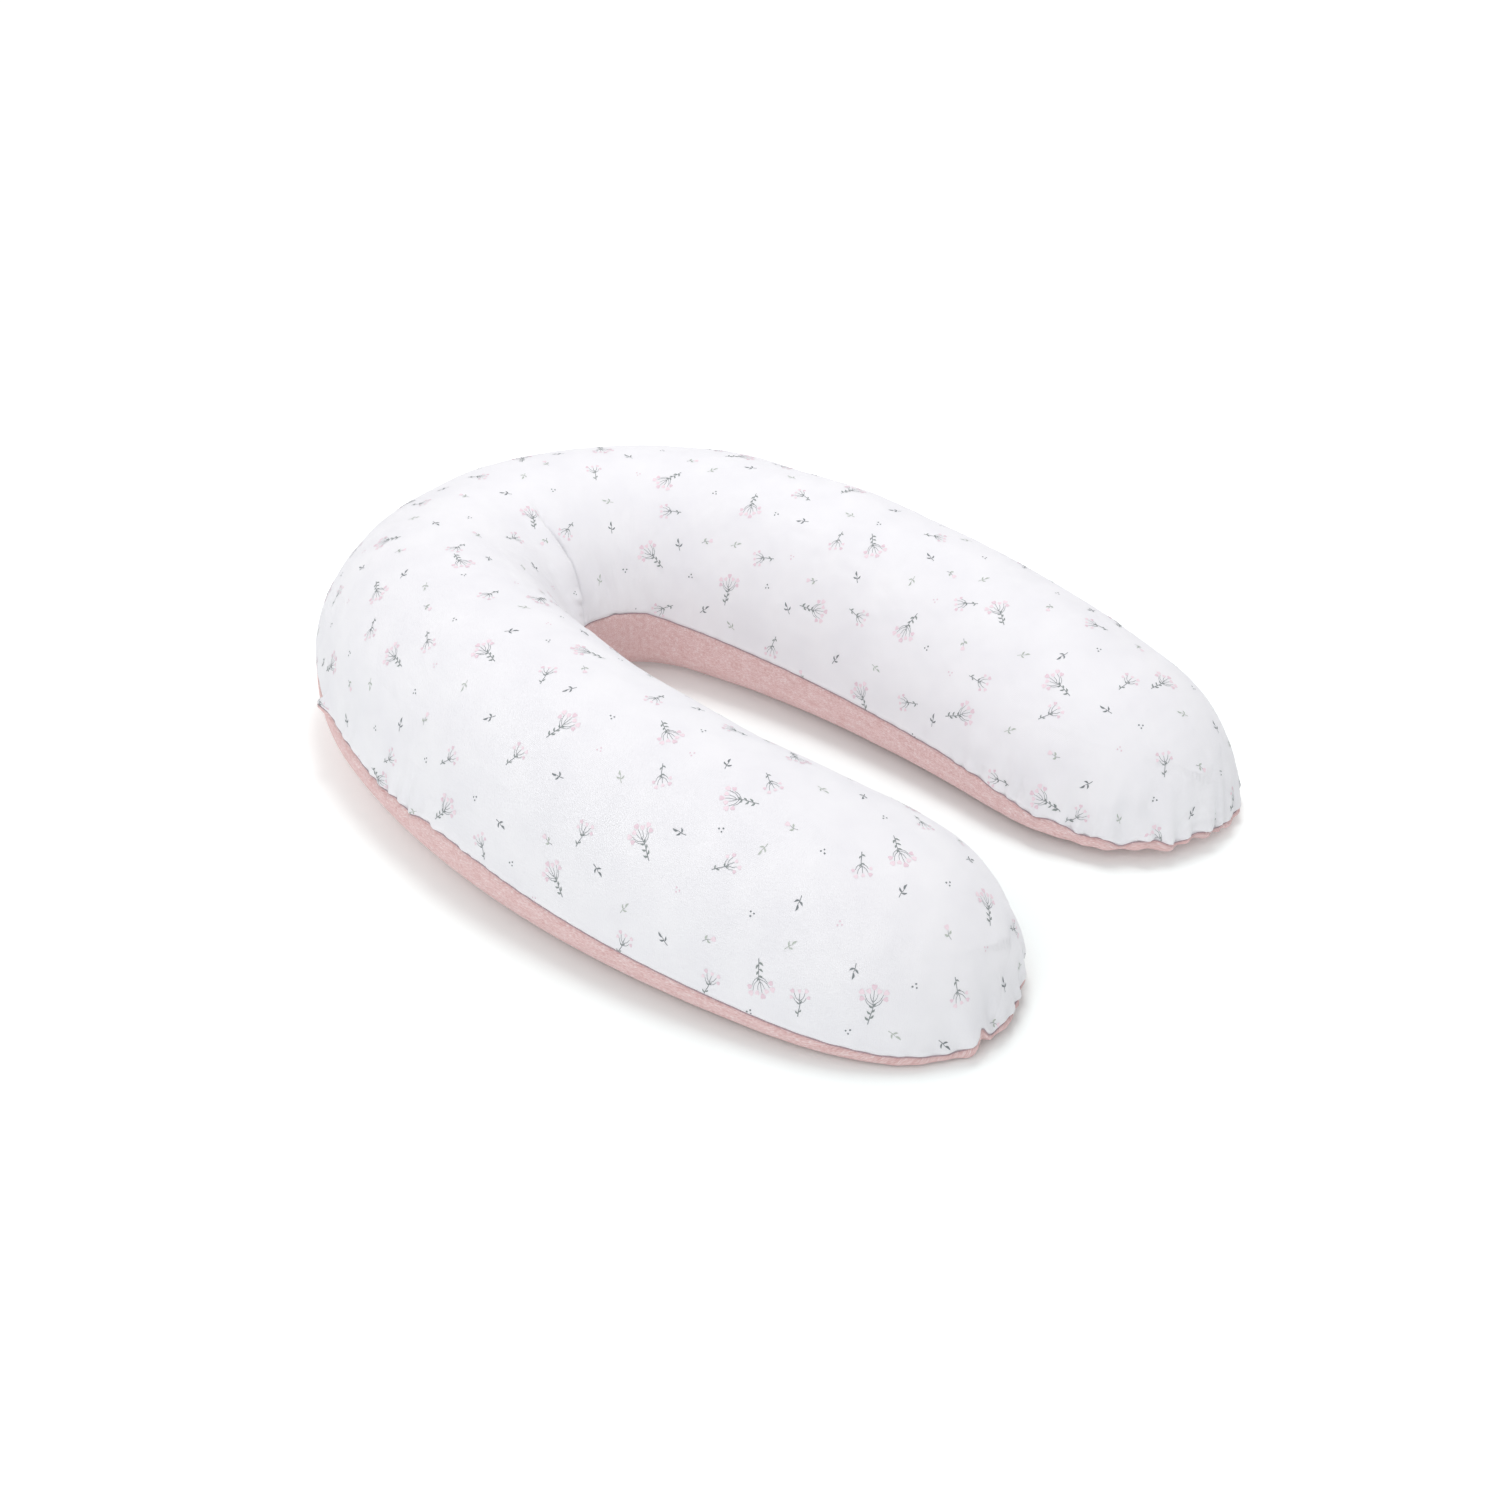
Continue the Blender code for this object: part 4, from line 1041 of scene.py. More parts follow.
def leaf(x, y, heading, length, width, curl=0.12):
    """A pointed leaf with a slightly curved spine, three faces wide."""
    flat, faces = [], []
    for k in range(LEAF_STEPS + 1):
        t = k / LEAF_STEPS
        spine = curl * length * math.sin(math.pi * t)
        half = width / 2 * math.sin(math.pi * min(1.0, t**0.85)) ** 0.9
        flat += [(length * t, spine + half * side) for side in (-1, -0.35, 0.35, 1)]
    points = turned(x, y, heading, flat)
    for k in range(LEAF_STEPS):
        faces += [(4 * k + j, 4 * k + j + 1, 4 * k + j + 5, 4 * k + j + 4) for j in range(3)]
    return points, faces


def stem(path, start_width, end_width):
    """A thin ribbon along a smooth (Catmull-Rom) curve through a few points."""
    dense = []
    for k in range(STEM_STEPS + 1):
        t = k / STEM_STEPS * (len(path) - 1)
        i = min(int(t), len(path) - 2)
        f = t - i
        p = [path[max(i - 1, 0)], path[i], path[i + 1], path[min(i + 2, len(path) - 1)]]
        weights = (
            -f / 2 + f**2 - f**3 / 2,
            1 - 2.5 * f**2 + 1.5 * f**3,
            f / 2 + 2 * f**2 - 1.5 * f**3,
            -(f**2) / 2 + f**3 / 2,
        )
        dense.append(tuple(sum(w * q[axis] for w, q in zip(weights, p)) for axis in (0, 1)))
    points, faces = [], []
    for k, (px, py) in enumerate(dense):
        ax, ay = dense[max(k - 1, 0)]
        bx, by = dense[min(k + 1, STEM_STEPS)]
        size = max(math.hypot(bx - ax, by - ay), 1e-9)
        half = (start_width + (end_width - start_width) * k / STEM_STEPS) / 2
        side_x, side_y = (by - ay) / size * half, (bx - ax) / size * half
        points += [(px - side_x, py + side_y), (px + side_x, py - side_y)]
    faces = [(2 * k, 2 * k + 1, 2 * k + 3, 2 * k + 2) for k in range(STEM_STEPS)]
    return points, faces


def dot(x, y, radius):
    """A round dot, as a fan of triangles."""
    angles = [k * math.tau / DOT_POINTS for k in range(DOT_POINTS)]
    rim = [(x + radius * math.cos(angle), y + radius * math.sin(angle)) for angle in angles]
    return [(x, y), *rim], [(0, 1 + k, 1 + (k + 1) % DOT_POINTS) for k in range(DOT_POINTS)]


print("a leaf has", len(leaf(0, 0, 0, 1, 1)[0]), "points")


# %% The motifs, in millimetres
def sprig(length, blossoms, leaf_pairs):
    """A curved stem with leaves low down and heart-shaped blossoms fanned out on branches at its top."""
    curve = [(0, length * 0.10), (length * 0.18, length * 0.06), (length * 0.40, 0), (length * 0.62, 0)]
    parts = [("stem_ink", stem(curve, 0.70, 0.5))]
    for k in range(leaf_pairs):
        t = 0.10 + 0.32 * k / max(leaf_pairs - 1, 1)
        x, y = length * t, length * 0.085 * (1 - t / 0.44)
        size = length * (0.15 - 0.015 * k)
        parts.append(("leaf_grey_ink", leaf(x, y, 0.85, size, size * 0.36)))
        parts.append(("leaf_grey_ink", leaf(x + length * 0.05, y, -0.80, size * 0.9, size * 0.34, -0.12)))
    for k in range(blossoms):
        spread = -1.0 + 2.0 * k / (blossoms - 1)
        heading = spread * 1.30
        reach = length * (0.27 if k % 2 else 0.20)
        tip_x = length * 0.58 + reach * math.cos(heading)
        tip_y = reach * 1.1 * math.sin(heading) - length * 0.02
        base_x = length * (0.44 + 0.18 * (1 - abs(spread)))
        bow = base_x + (tip_x - base_x) * 0.40, tip_y * 0.66
        parts.append(("stem_ink", stem([(base_x, 0.0), bow, (tip_x, tip_y)], 0.45, 0.35)))
        size = length * (0.165 if k % 2 else 0.145)
        ink = "blossom_ink" if k % 3 else "blossom_deep_ink"
        parts.append((ink, blossom(tip_x, tip_y, heading * 1.1, size, size * 0.92)))
    return parts


def twig(length, ink):
    """Three leaves on a short stalk."""
    parts = [(ink, stem([(0, 0), (length * 0.3, 0.4), (length * 0.55, 0)], 0.6, 0.4))]
    parts.append((ink, leaf(length * 0.55, 0, 0.05, length * 0.42, length * 0.13)))
    parts.append((ink, leaf(length * 0.36, 0.2, 0.95, length * 0.34, length * 0.11)))
    parts.append((ink, leaf(length * 0.30, 0.2, -0.90, length * 0.34, length * 0.11, -0.12)))
    return parts


def bud_twig(length):
    """One blossom on a short stalk between two pale leaves."""
    parts = [("stem_ink", stem([(0, 0), (length * 0.3, 0.8), (length * 0.62, 0)], 0.45, 0.35))]
    parts.append(("blossom_ink", blossom(length * 0.58, 0, 0, length * 0.42, length * 0.36)))
    parts.append(("leaf_pale_ink", leaf(length * 0.25, 0.6, 0.95, length * 0.34, length * 0.15)))
    parts.append(("leaf_pale_ink", leaf(length * 0.35, 0.4, -0.9, length * 0.30, length * 0.14, -0.12)))
    return parts


def three_dots(ink):
    """Three dots close together, at the corners of a triangle."""
    return [(ink, dot(0.0, 0.0, 0.85)), (ink, dot(3.4, 1.2, 0.75)), (ink, dot(1.2, 3.5, 0.8))]


motif_kinds = {
    "large_sprig": sprig(33, 7, 3),
    "medium_sprig": sprig(25, 5, 2),
    "dark_twig": twig(14, "leaf_dark_ink"),
    "pale_twig": twig(13, "leaf_pale_ink"),
    "bud_twig": bud_twig(13),
    "pink_dots": three_dots("blossom_deep_ink"),
    "grey_dots": three_dots("leaf_dark_ink"),
}


def centred(parts):
    """The same parts about the middle of their box, in metres."""
    xs = [p[0] for _, (points, _) in parts for p in points]
    ys = [p[1] for _, (points, _) in parts for p in points]
    cx, cy = (min(xs) + max(xs)) / 2, (min(ys) + max(ys)) / 2
    moved = []
    for ink, (points, faces) in parts:
        moved.append((ink, (np.array([((x - cx) * MM, (y - cy) * MM) for x, y in points]), faces)))
    return moved


motifs = {name: centred(parts) for name, parts in motif_kinds.items()}
print("motif points:", {name: sum(len(p) for _, (p, _) in parts) for name, parts in motifs.items()})

# %% Where the copies go
printer = np.random.default_rng(29)
cells = (top[:-1, :-1] + top[1:, 1:]) / 2
edge_a, edge_b = top[1:, :-1] - top[:-1, :-1], top[:-1, 1:] - top[:-1, :-1]
cell_area = np.linalg.norm(np.cross(edge_a, edge_b), axis=-1).reshape(-1)
cell_points = cells.reshape(-1, 3)
cell_normals = top_normals[:-1, :-1].reshape(-1, 3)
placed, copies = [], []
ANY_TWO = 30 * MM              # the least distance between any two motifs
# For each kind: how many are wanted, and the least distance in millimetres between two of that kind.
plan_of_print = [
    ("large_sprig", 66, 84),
    ("medium_sprig", 80, 74),
    ("dark_twig", 78, 66),
    ("pale_twig", 56, 70),
    ("bud_twig", 40, 80),
    ("grey_dots", 72, 64),
    ("pink_dots", 36, 80),
]
for kind, wanted, apart in plan_of_print:
    tries = printer.choice(len(cell_points), size=wanted * 40, p=cell_area / cell_area.sum())
    alike, made = [], 0
    for i in tries:
        place = cell_points[i]
        if placed and np.linalg.norm(np.array(placed) - place, axis=1).min() < ANY_TWO:
            continue
        if alike and np.linalg.norm(np.array(alike) - place, axis=1).min() < apart * MM:
            continue
        placed.append(place)
        alike.append(place)
        copies.append((kind, place, cell_normals[i], printer.uniform(0, 2 * math.pi)))
        made += 1
        if made == wanted:
            break
print("copies:", {kind: sum(c[0] == kind for c in copies) for kind, _, _ in plan_of_print})

# %% Lay every copy on the cloth
INK_LIFT = 0.22 * MM
# Both panels are searched for the closest cloth, and a motif's faces are kept only where that is the top
# panel, so a sprig is cut off at the seam as printed cloth is.
top_count = len(cover_top.data.polygons)
offset = len(cover_top.data.vertices)
all_places, all_faces = [], []
for cloth, first_point in ((cover_top.data, 0), (cover_base.data, offset)):
    all_places += [v.co.copy() for v in cloth.vertices]
    all_faces += [tuple(v + first_point for v in p.vertices) for p in cloth.polygons]
cloth_tree = BVHTree.FromPolygons(all_places, all_faces)
ink_places, ink_faces = {}, {}
for kind, place, normal, angle in copies:
    normal = Vector(normal)
    first = normal.cross(Vector((0, 0, 1))) if abs(normal.z) < 0.9 else normal.cross(Vector((0, 1, 0)))
    first.normalize()
    second = normal.cross(first)
    u_way = first * math.cos(angle) + second * math.sin(angle)
    v_way = second * math.cos(angle) - first * math.sin(angle)
    for ink, (points, faces) in motifs[kind]:
        places, faces_made = ink_places.setdefault(ink, []), ink_faces.setdefault(ink, [])
        start, on_cloth = len(places), []
        for u, v in points:
            found, outward, face, _ = cloth_tree.find_nearest(Vector(place) + u_way * u + v_way * v)
            on_cloth.append(face < top_count and outward.dot(normal) > -0.2)
            places.append(found + outward * INK_LIFT)
        faces_made += [tuple(start + k for k in f) for f in faces if all(on_cloth[k] for k in f)]
print("ink faces:", {ink: len(f) for ink, f in ink_faces.items()})

# %% [markdown]
# Pigment ink is pressed into the fibres with a binder, so it is as matt as the jersey, and the grain of
# the knit breaks its colour up a little. Each ink is one piece with one pigment: greys and a grey-green
# for stems and leaves, and two pale pinks for the blossoms.

# %% The inks
inks = {
    "stem_ink": "#8E9396",
    "leaf_grey_ink": "#8F9795",
    "leaf_dark_ink": "#7F8588",
    "leaf_pale_ink": "#B9C0B8",
    "blossom_ink": "#EEDBE3",
    "blossom_deep_ink": "#E6CFD9",
}
for ink, colour in inks.items():
    mesh = bpy.data.meshes.new("print_" + ink)
    mesh.from_pydata([tuple(p) for p in ink_places[ink]], [], ink_faces[ink])
    loose = bmesh.new()
    loose.from_mesh(mesh)
    bmesh.ops.delete(loose, geom=[v for v in loose.verts if not v.link_faces], context="VERTS")
    loose.to_mesh(mesh)
    loose.free()
    mesh.shade_smooth()
    item = in_scene("print_" + ink, mesh)
    pigment, tree, shader = new_material("pigment_" + ink, Roughness=0.85, Sheen_Weight=0.1)
    shader.inputs["Specular IOR Level"].default_value = 0.2
    place = add_node(tree, "TexCoord")
    speckle = add_node(tree, "TexNoise", {"Vector": place.outputs["Object"], "Scale": 900.0, "Detail": 2.0})
    depth = add_node(
        tree,
        "MapRange",
        {"Value": speckle.outputs["Fac"], "From Min": 0.3, "From Max": 0.7, "To Min": 0.94, "To Max": 1.05},
    )
    inking = {0: linear(colour)[:3], "Scale": depth.outputs["Result"]}
    inked = add_node(tree, "VectorMath", inking, operation="SCALE")
    tree.links.new(inked.outputs["Vector"], shader.inputs["Base Color"])
    mesh.materials.append(pigment)
    finish_piece(item, "pillow")
print("inks:", list(inks))

# %% [markdown]
# ## What lies under the cover
# A cotton casing holds the expanded-polystyrene beads, so that the cover can be washed without them.
# Neither shows while the zip is closed, but both are pieces of the real thing. They nest inside the cover
# like its shape shrunk by a few millimetres, so each is taken from the same points, moved inwards: then
# every fold is followed too.

# %% Nested layers
LAYER_STEP = 4


def layer_points(points, normals, depth, side_depth, zip_depth, s_field):
    """Every fourth section of a panel's grid, moved inwards, and further where the zip runs."""
    picks = sorted(set(list(range(0, len(points), LAYER_STEP)) + [len(points) - 1]))
    rows = sorted(set([0, points.shape[1] - 1] + list(range(4, points.shape[1] - 4, 3))))
    chosen = np.ix_(picks, rows)
    share = row_runs(points)[chosen] / np.maximum(row_runs(points)[picks][:, -1:], 1e-9)
    beside = zip_share(s_field[chosen], ZIP_HALF_ANGLE) * np.clip((share - 0.80) / 0.15, 0, 1)
    tip = np.clip((arm_length(s_field[chosen]) - np.abs(s_field[chosen])) / 0.004, 0, 1)
    upright = 1 - np.abs(normals[chosen][..., 2])
    inwards = depth + (side_depth - depth) * np.clip(upright * 1.6, 0, 1)
    inwards = inwards + np.maximum(zip_depth - inwards, 0) * beside
    moved = points[chosen] - normals[chosen] * inwards[..., None]
    for _ in range(3):
        moved[1:-1, 1:-1] = (moved[:-2, 1:-1] + moved[2:, 1:-1] + moved[1:-1, :-2] + moved[1:-1, 2:]) / 4
        moved[1:-1, 0] = (moved[:-2, 0] + 2 * moved[1:-1, 0] + moved[2:, 0]) / 4
        moved[1:-1, -1] = (moved[:-2, -1] + 2 * moved[1:-1, -1] + moved[2:, -1]) / 4
    ends = points[chosen].mean(axis=1, keepdims=True)
    moved = ends + (moved - ends) * np.maximum(tip, 0.2)[..., None]
    moved[..., 2] = np.maximum(moved[..., 2], depth)
    return moved, np.array(picks)


def layer_sheet(name, points, picks, outward_sign, slot=0.0):
    """A nested layer as a sheet. Along its zip the outer edge is moved up by the slot (down if below 0)."""
    lift = slot * zip_share(stations[picks], INNER_ZIP_HALF_ANGLE)[:, None]
    points = points.copy()
    points[..., 2] += lift * outer_edge_fade(points)
    return panel(name, points, stations[picks], outward_sign)


CASING_SIDE, CASING_ZIP_DEPTH = 5.5 * MM, 7.4 * MM
BEADS_SIDE, BEADS_ZIP_DEPTH = 9.0 * MM, 12.0 * MM
casing_top_points, picks = layer_points(top, top_normals, 3.0 * MM, CASING_SIDE, CASING_ZIP_DEPTH, top_s)
casing_base_points, _ = layer_points(base, base_normals, 1.8 * MM, CASING_SIDE, CASING_ZIP_DEPTH, base_s)
casing_top = layer_sheet("casing_top_cotton", casing_top_points, picks, TOP_SIGN, ZIP_SLOT)
casing_base = layer_sheet("casing_base_cotton", casing_base_points, picks, BASE_SIGN, -ZIP_SLOT)
print("casing sections:", len(picks))

# %% [markdown]
# The casing is cheap calico: warp and weft cross about every 0.4 mm. At a nursing pillow's size that is
# invisible, so the weave is drawn every 1.2 mm. Unbleached cotton is a warm off-white with the odd
# thicker thread.

# %% Plain-woven cotton
THREADS = 1.2 * MM
calico, tree, shader = new_material("plain_woven_cotton", Roughness=0.9, Sheen_Weight=0.08)
shader.inputs["Specular IOR Level"].default_value = 0.25
metres = add_node(tree, "UVMap", uv_map="metres")
thread_scale = (1 / THREADS, 1 / THREADS, 1.0)
threads = add_node(tree, "Mapping", {"Vector": metres.outputs["UV"], "Scale": thread_scale})
warp_and_weft = {"Color1": linear("#F1EEE6"), "Color2": linear("#EAE6DC")}
weave = add_node(tree, "TexChecker", {"Vector": threads.outputs["Vector"], "Scale": 1.0, **warp_and_weft})
slub = add_node(tree, "TexNoise", {"Vector": threads.outputs["Vector"], "Scale": 0.35, "Detail": 3.0})
relief = add_node(tree, "Bump", {"Height": weave.outputs["Fac"], "Strength": 0.4, "Distance": 0.1 * MM})
tinted = add_node(tree, "MapRange", {"Value": slub.outputs["Fac"], "To Min": 0.93, "To Max": 1.03})
tinting = {0: weave.outputs["Color"], "Scale": tinted.outputs["Result"]}
cloth_colour = add_node(tree, "VectorMath", tinting, operation="SCALE")
tree.links.new(cloth_colour.outputs["Vector"], shader.inputs["Base Color"])
tree.links.new(relief.outputs["Normal"], shader.inputs["Normal"])
for sheet_item, node in ((casing_top, "casing_top_panel"), (casing_base, "casing_base_panel")):
    sheet_item.data.materials.append(calico)
    finish_piece(sheet_item, "pillow", [node])
print("casing:", calico.name)

# %% [markdown]
# Expanded-polystyrene beads are 2 to 3 mm balls of white foam, matt and slightly translucent. Tens of
# thousands of them can't be modelled one by one, so rounded cells of that size, each with its own shade
# of white, stand for the outside of the heap.

# %% The filling
BEAD = 3 * MM
beads_top, _ = layer_points(top, top_normals, 5.0 * MM, BEADS_SIDE, BEADS_ZIP_DEPTH, top_s)
beads_base, _ = layer_points(base, base_normals, 3.0 * MM, BEADS_SIDE, BEADS_ZIP_DEPTH, base_s)
weld = (beads_top[:, 0] + beads_base[:, 0]) / 2
beads_top[:, 0] = beads_base[:, 0] = weld
weld = (beads_top[:, -1] + beads_base[:, -1]) / 2
beads_top[:, -1] = beads_base[:, -1] = weld
beads_round = np.concatenate([beads_top, beads_base[:, -2::-1]], axis=1)
filling = layer_sheet("polystyrene_bead_filling", beads_round, picks, TOP_SIGN)
foam, tree, shader = new_material(
    "expanded_polystyrene_beads", Roughness=0.6, IOR=1.5, Subsurface_Weight=0.1
)
shader.inputs["Subsurface Radius"].default_value = (0.002, 0.002, 0.002)
place = add_node(tree, "TexCoord")
balls = add_node(tree, "TexVoronoi", {"Vector": place.outputs["Object"], "Scale": 1 / BEAD})
round_top = add_node(tree, "Math", {0: 1.0, 1: balls.outputs["Distance"]}, operation="SUBTRACT")
swelling = {"Height": round_top.outputs["Value"], "Strength": 1.0, "Distance": BEAD / 2}
relief = add_node(tree, "Bump", swelling)
each = add_node(tree, "SeparateColor", {"Color": balls.outputs["Color"]})
ball_white = add_node(tree, "ValToRGB", {"Fac": each.outputs["Red"]})
colour_stops(ball_white, [(0.0, "#EFEFF0"), (1.0, "#FCFCFC")])
tree.links.new(ball_white.outputs["Color"], shader.inputs["Base Color"])
tree.links.new(relief.outputs["Normal"], shader.inputs["Normal"])
filling.data.materials.append(foam)
finish_piece(filling, "pillow", ["bead_filling"])
print("layers:", casing_top.name, casing_base.name, filling.name)

# %% [markdown]
# ## Overlocked seams
# Inside, the two raw edges are overlocked together: a narrow upright band with looped thread wrapped over
# it. One ribbon with a wavy edge, wrapped by a thread that zigzags across it, shows that without
# modelling each knot.

# %% Thread
thread_white, tree, shader = new_material("spun_polyester_thread", Roughness=0.55, Sheen_Weight=0.25)
place = add_node(tree, "TexCoord")
ply = add_node(tree, "TexNoise", {"Vector": place.outputs["Object"], "Scale": 1400.0, "Detail": 2.0})
thread_shade = add_node(tree, "ValToRGB", {"Fac": ply.outputs["Fac"]})
colour_stops(thread_shade, [(0.3, "#DCD3D1"), (0.7, "#F0EAE8")])
twist = add_node(tree, "Bump", {"Height": ply.outputs["Fac"], "Strength": 0.4, "Distance": 0.1 * MM})
tree.links.new(thread_shade.outputs["Color"], shader.inputs["Base Color"])
tree.links.new(twist.outputs["Normal"], shader.inputs["Normal"])
print("thread:", thread_white.name)


# %% Tubes and joined pieces
def tube_through(name, places, radius, sides):
    """A thin tube through a list of points, used for thread and for zip coils."""
    places = np.asarray(places, float)
    forward = np.gradient(places, axis=0)
    forward /= np.maximum(np.linalg.norm(forward, axis=1, keepdims=True), 1e-12)
    up = np.tile([0.0, 0.0, 1.0], (len(places), 1))
    up[np.abs(forward[:, 2]) > 0.9] = (1.0, 0.0, 0.0)
    side = np.cross(forward, up)
    side /= np.maximum(np.linalg.norm(side, axis=1, keepdims=True), 1e-12)
    up = np.cross(side, forward)
    turn = np.arange(sides) / sides * 2 * math.pi
    spokes = np.cos(turn)[None, :, None] * side[:, None] + np.sin(turn)[None, :, None] * up[:, None]
    rings = places[:, None] + radius * spokes
    faces = []
    for a in range(0, (len(places) - 1) * sides, sides):
        for k in range(sides):
            j = (k + 1) % sides
            faces.append((a + k, a + j, a + sides + j, a + sides + k))
    faces += [tuple(range(sides))[::-1], tuple((len(places) - 1) * sides + k for k in range(sides))]
    mesh = bpy.data.meshes.new(name)
    mesh.from_pydata(rings.reshape(-1, 3).tolist(), [], faces)
    mesh.shade_smooth()
    return in_scene(name, mesh)


def joined(name, items):
    """Joins a few meshes into one piece."""
    whole = bmesh.new()
    for item in items:
        whole.from_mesh(item.data)
        bpy.data.objects.remove(item, do_unlink=True)
    mesh = bpy.data.meshes.new(name)
    whole.to_mesh(mesh)
    whole.free()
    mesh.shade_smooth()
    return in_scene(name, mesh)


print("helpers:", tube_through.__name__, joined.__name__)

# %% Overlock bands
STITCH = 3 * MM                # along the seam from one loop of the wrapping thread to the next
BAND_THICKNESS = 0.8 * MM
THREAD_OUT = 0.1 * MM          # how far the wrapping thread stands off the band's two faces


def beside_zip(half_angle):
    """True at the points of the seam's outline that are sewn to a zip, with a little more at each end."""
    return ~outline_inner & (np.degrees(np.abs(outline_s) / BEND_RADIUS) < half_angle + 1.5)


def in_order(left_out):
    """The outline's point numbers in order, starting just past the stretch that is left out."""
    start = int(np.flatnonzero(left_out).max()) + 1
    numbers = [k % len(left_out) for k in range(start, start + len(left_out))]
    return [k for k in numbers if not left_out[k]]


def overlock(name, line, inwards, depth, half_height, left_out):
    """The band that follows a seam line inside the body, left out along the zip."""
    order = in_order(left_out)
    path, inward = line[order], inwards[order]
    run = np.concatenate([[0.0], np.cumsum(np.linalg.norm(np.diff(path, axis=0), axis=1))])
    count = int(run[-1] / STITCH)
    at = np.linspace(0, run[-1], count + 1)
    centre = np.stack([np.interp(at, run, path[:, a]) for a in range(3)], axis=1)
    inside = np.stack([np.interp(at, run, inward[:, a]) for a in range(3)], axis=1)
    inside /= np.linalg.norm(inside, axis=1, keepdims=True)
    places, faces, wrap = [], [], []
    for k, (p, n) in enumerate(zip(centre, inside)):
        wave = 0.25 * MM * math.sin(k * 0.9)
        low, high = wave - half_height, wave + half_height
        for height, out in ((low, 0.0), (low, BAND_THICKNESS), (high, BAND_THICKNESS), (high, 0.0)):
            places.append(tuple(p + n * (depth + out) + np.array([0, 0, height])))
        thread_depth = depth - THREAD_OUT if k % 2 else depth + BAND_THICKNESS + THREAD_OUT
        thread_height = half_height * (1 if k % 4 < 2 else -1)
        wrap.append(p + n * thread_depth + np.array([0, 0, thread_height]))
    for k in range(count):
        a = 4 * k
        faces += [(a + j, a + (j + 1) % 4, a + 4 + (j + 1) % 4, a + 4 + j) for j in range(4)]
    mesh = bpy.data.meshes.new(name + "_band")
    mesh.from_pydata(places, [], faces)
    strip = in_scene(name + "_band", mesh)
    return joined(name, [strip, tube_through(name + "_wrap", wrap, 0.22 * MM, 5)])


inward_along = np.concatenate([-top_normals[:, 4], -top_normals[-2:0:-1, -5]])
inward_along[:, 2] = 0
inward_along /= np.maximum(np.linalg.norm(inward_along, axis=1, keepdims=True), 1e-9)
seam_line = np.concatenate([(top[:, 0] + base[:, 0]) / 2, (top[-2:0:-1, -1] + base[-2:0:-1, -1]) / 2])
for name, node, depth, half_angle, height in (
    ("cover_overlock", "cover_overlocked_seam", 1.9 * MM, ZIP_HALF_ANGLE, 1.2 * MM),
    ("casing_overlock", "casing_overlocked_seam", 4.9 * MM, INNER_ZIP_HALF_ANGLE, 1.0 * MM),
):
    band = overlock(name, seam_line, inward_along, depth, height, beside_zip(half_angle))
    band.data.materials.append(thread_white)
    finish_piece(band, "pillow", [node])
    print(name, "has", len(band.data.polygons), "faces")

# %% [markdown]
# Between the two panels a mauve-grey line shows at the bottom of the groove. It is partly the needle
# thread and partly the seam's shadow, painted as a dark thread. It is one tube along the seam line, a
# little inside the cloth, and thicker than real thread so that the line reads.

# %% Thread and painted shadow in the seam
# Painted shadow: the tube's dark mauve-grey stands partly for the seam's shade and partly for the thread.
seam_shade, tree, shader = new_material("mauve_thread_and_seam_shade", Roughness=0.7, Sheen_Weight=0.2)
place = add_node(tree, "TexCoord")
twisted = add_node(tree, "TexNoise", {"Vector": place.outputs["Object"], "Scale": 700.0, "Detail": 2.0})
mauve = add_node(tree, "ValToRGB", {"Fac": twisted.outputs["Fac"]})
colour_stops(mauve, [(0.3, "#A1878D"), (0.7, "#BAA1A7")])
tree.links.new(mauve.outputs["Color"], shader.inputs["Base Color"])
order = in_order(beside_zip(ZIP_HALF_ANGLE))
line = seam_line[order] - inward_along[order] * 0.35 * MM
thread_and_seam_shadow_tube = tube_through("needle_thread_and_seam_shadow", line, 0.55 * MM, 6)
thread_and_seam_shadow_tube.data.materials.append(seam_shade)
finish_piece(thread_and_seam_shadow_tube, "pillow")
print("needle thread through", len(line), "points")

# %% [markdown]
# ## The two zips
# Round the back of the bend the panels aren't sewn to each other but to a nylon coil zip, and the casing
# has a short one behind it. A coil zip is a woven tape with one long spiral of nylon sewn along its edge.
# A textured strip would do from far off, but the spiral is what makes a zip look like a zip, so each coil
# is a real spiral.

# %% Round the back of the bend
def on_the_back(angle, radius, height):
    """A point round the back of the bend. The angle is in radians, from the middle towards s above 0."""
    return (bend_centre.x - radius * math.sin(angle), bend_centre.y + radius * math.cos(angle), height)


def wall_radius(off_zip):
    """How far out the cover's wall is, a distance above or below the zip line."""
    off = max(abs(off_zip) - ZIP_SLOT, 0.0)
    lean = (off / (HEIGHT[0] - INNER_SEAM_HEIGHT[0])) ** (1 / CROWN_POWER)
    return BEND_RADIUS + HALF_WIDTH[0] * math.sqrt(1 - min(lean, 1.0) ** 2)


print("wall 10 mm off the zip is", round((OUTER_RADIUS - wall_radius(10 * MM)) / MM, 2), "mm further in")


# %% Tapes and coils
TAPE_THICKNESS = 0.5 * MM
COIL_PITCH = 1.25 * MM
COIL_STEPS = 8                 # points in one turn of a coil
COIL_THREAD_RADIUS = 0.22 * MM


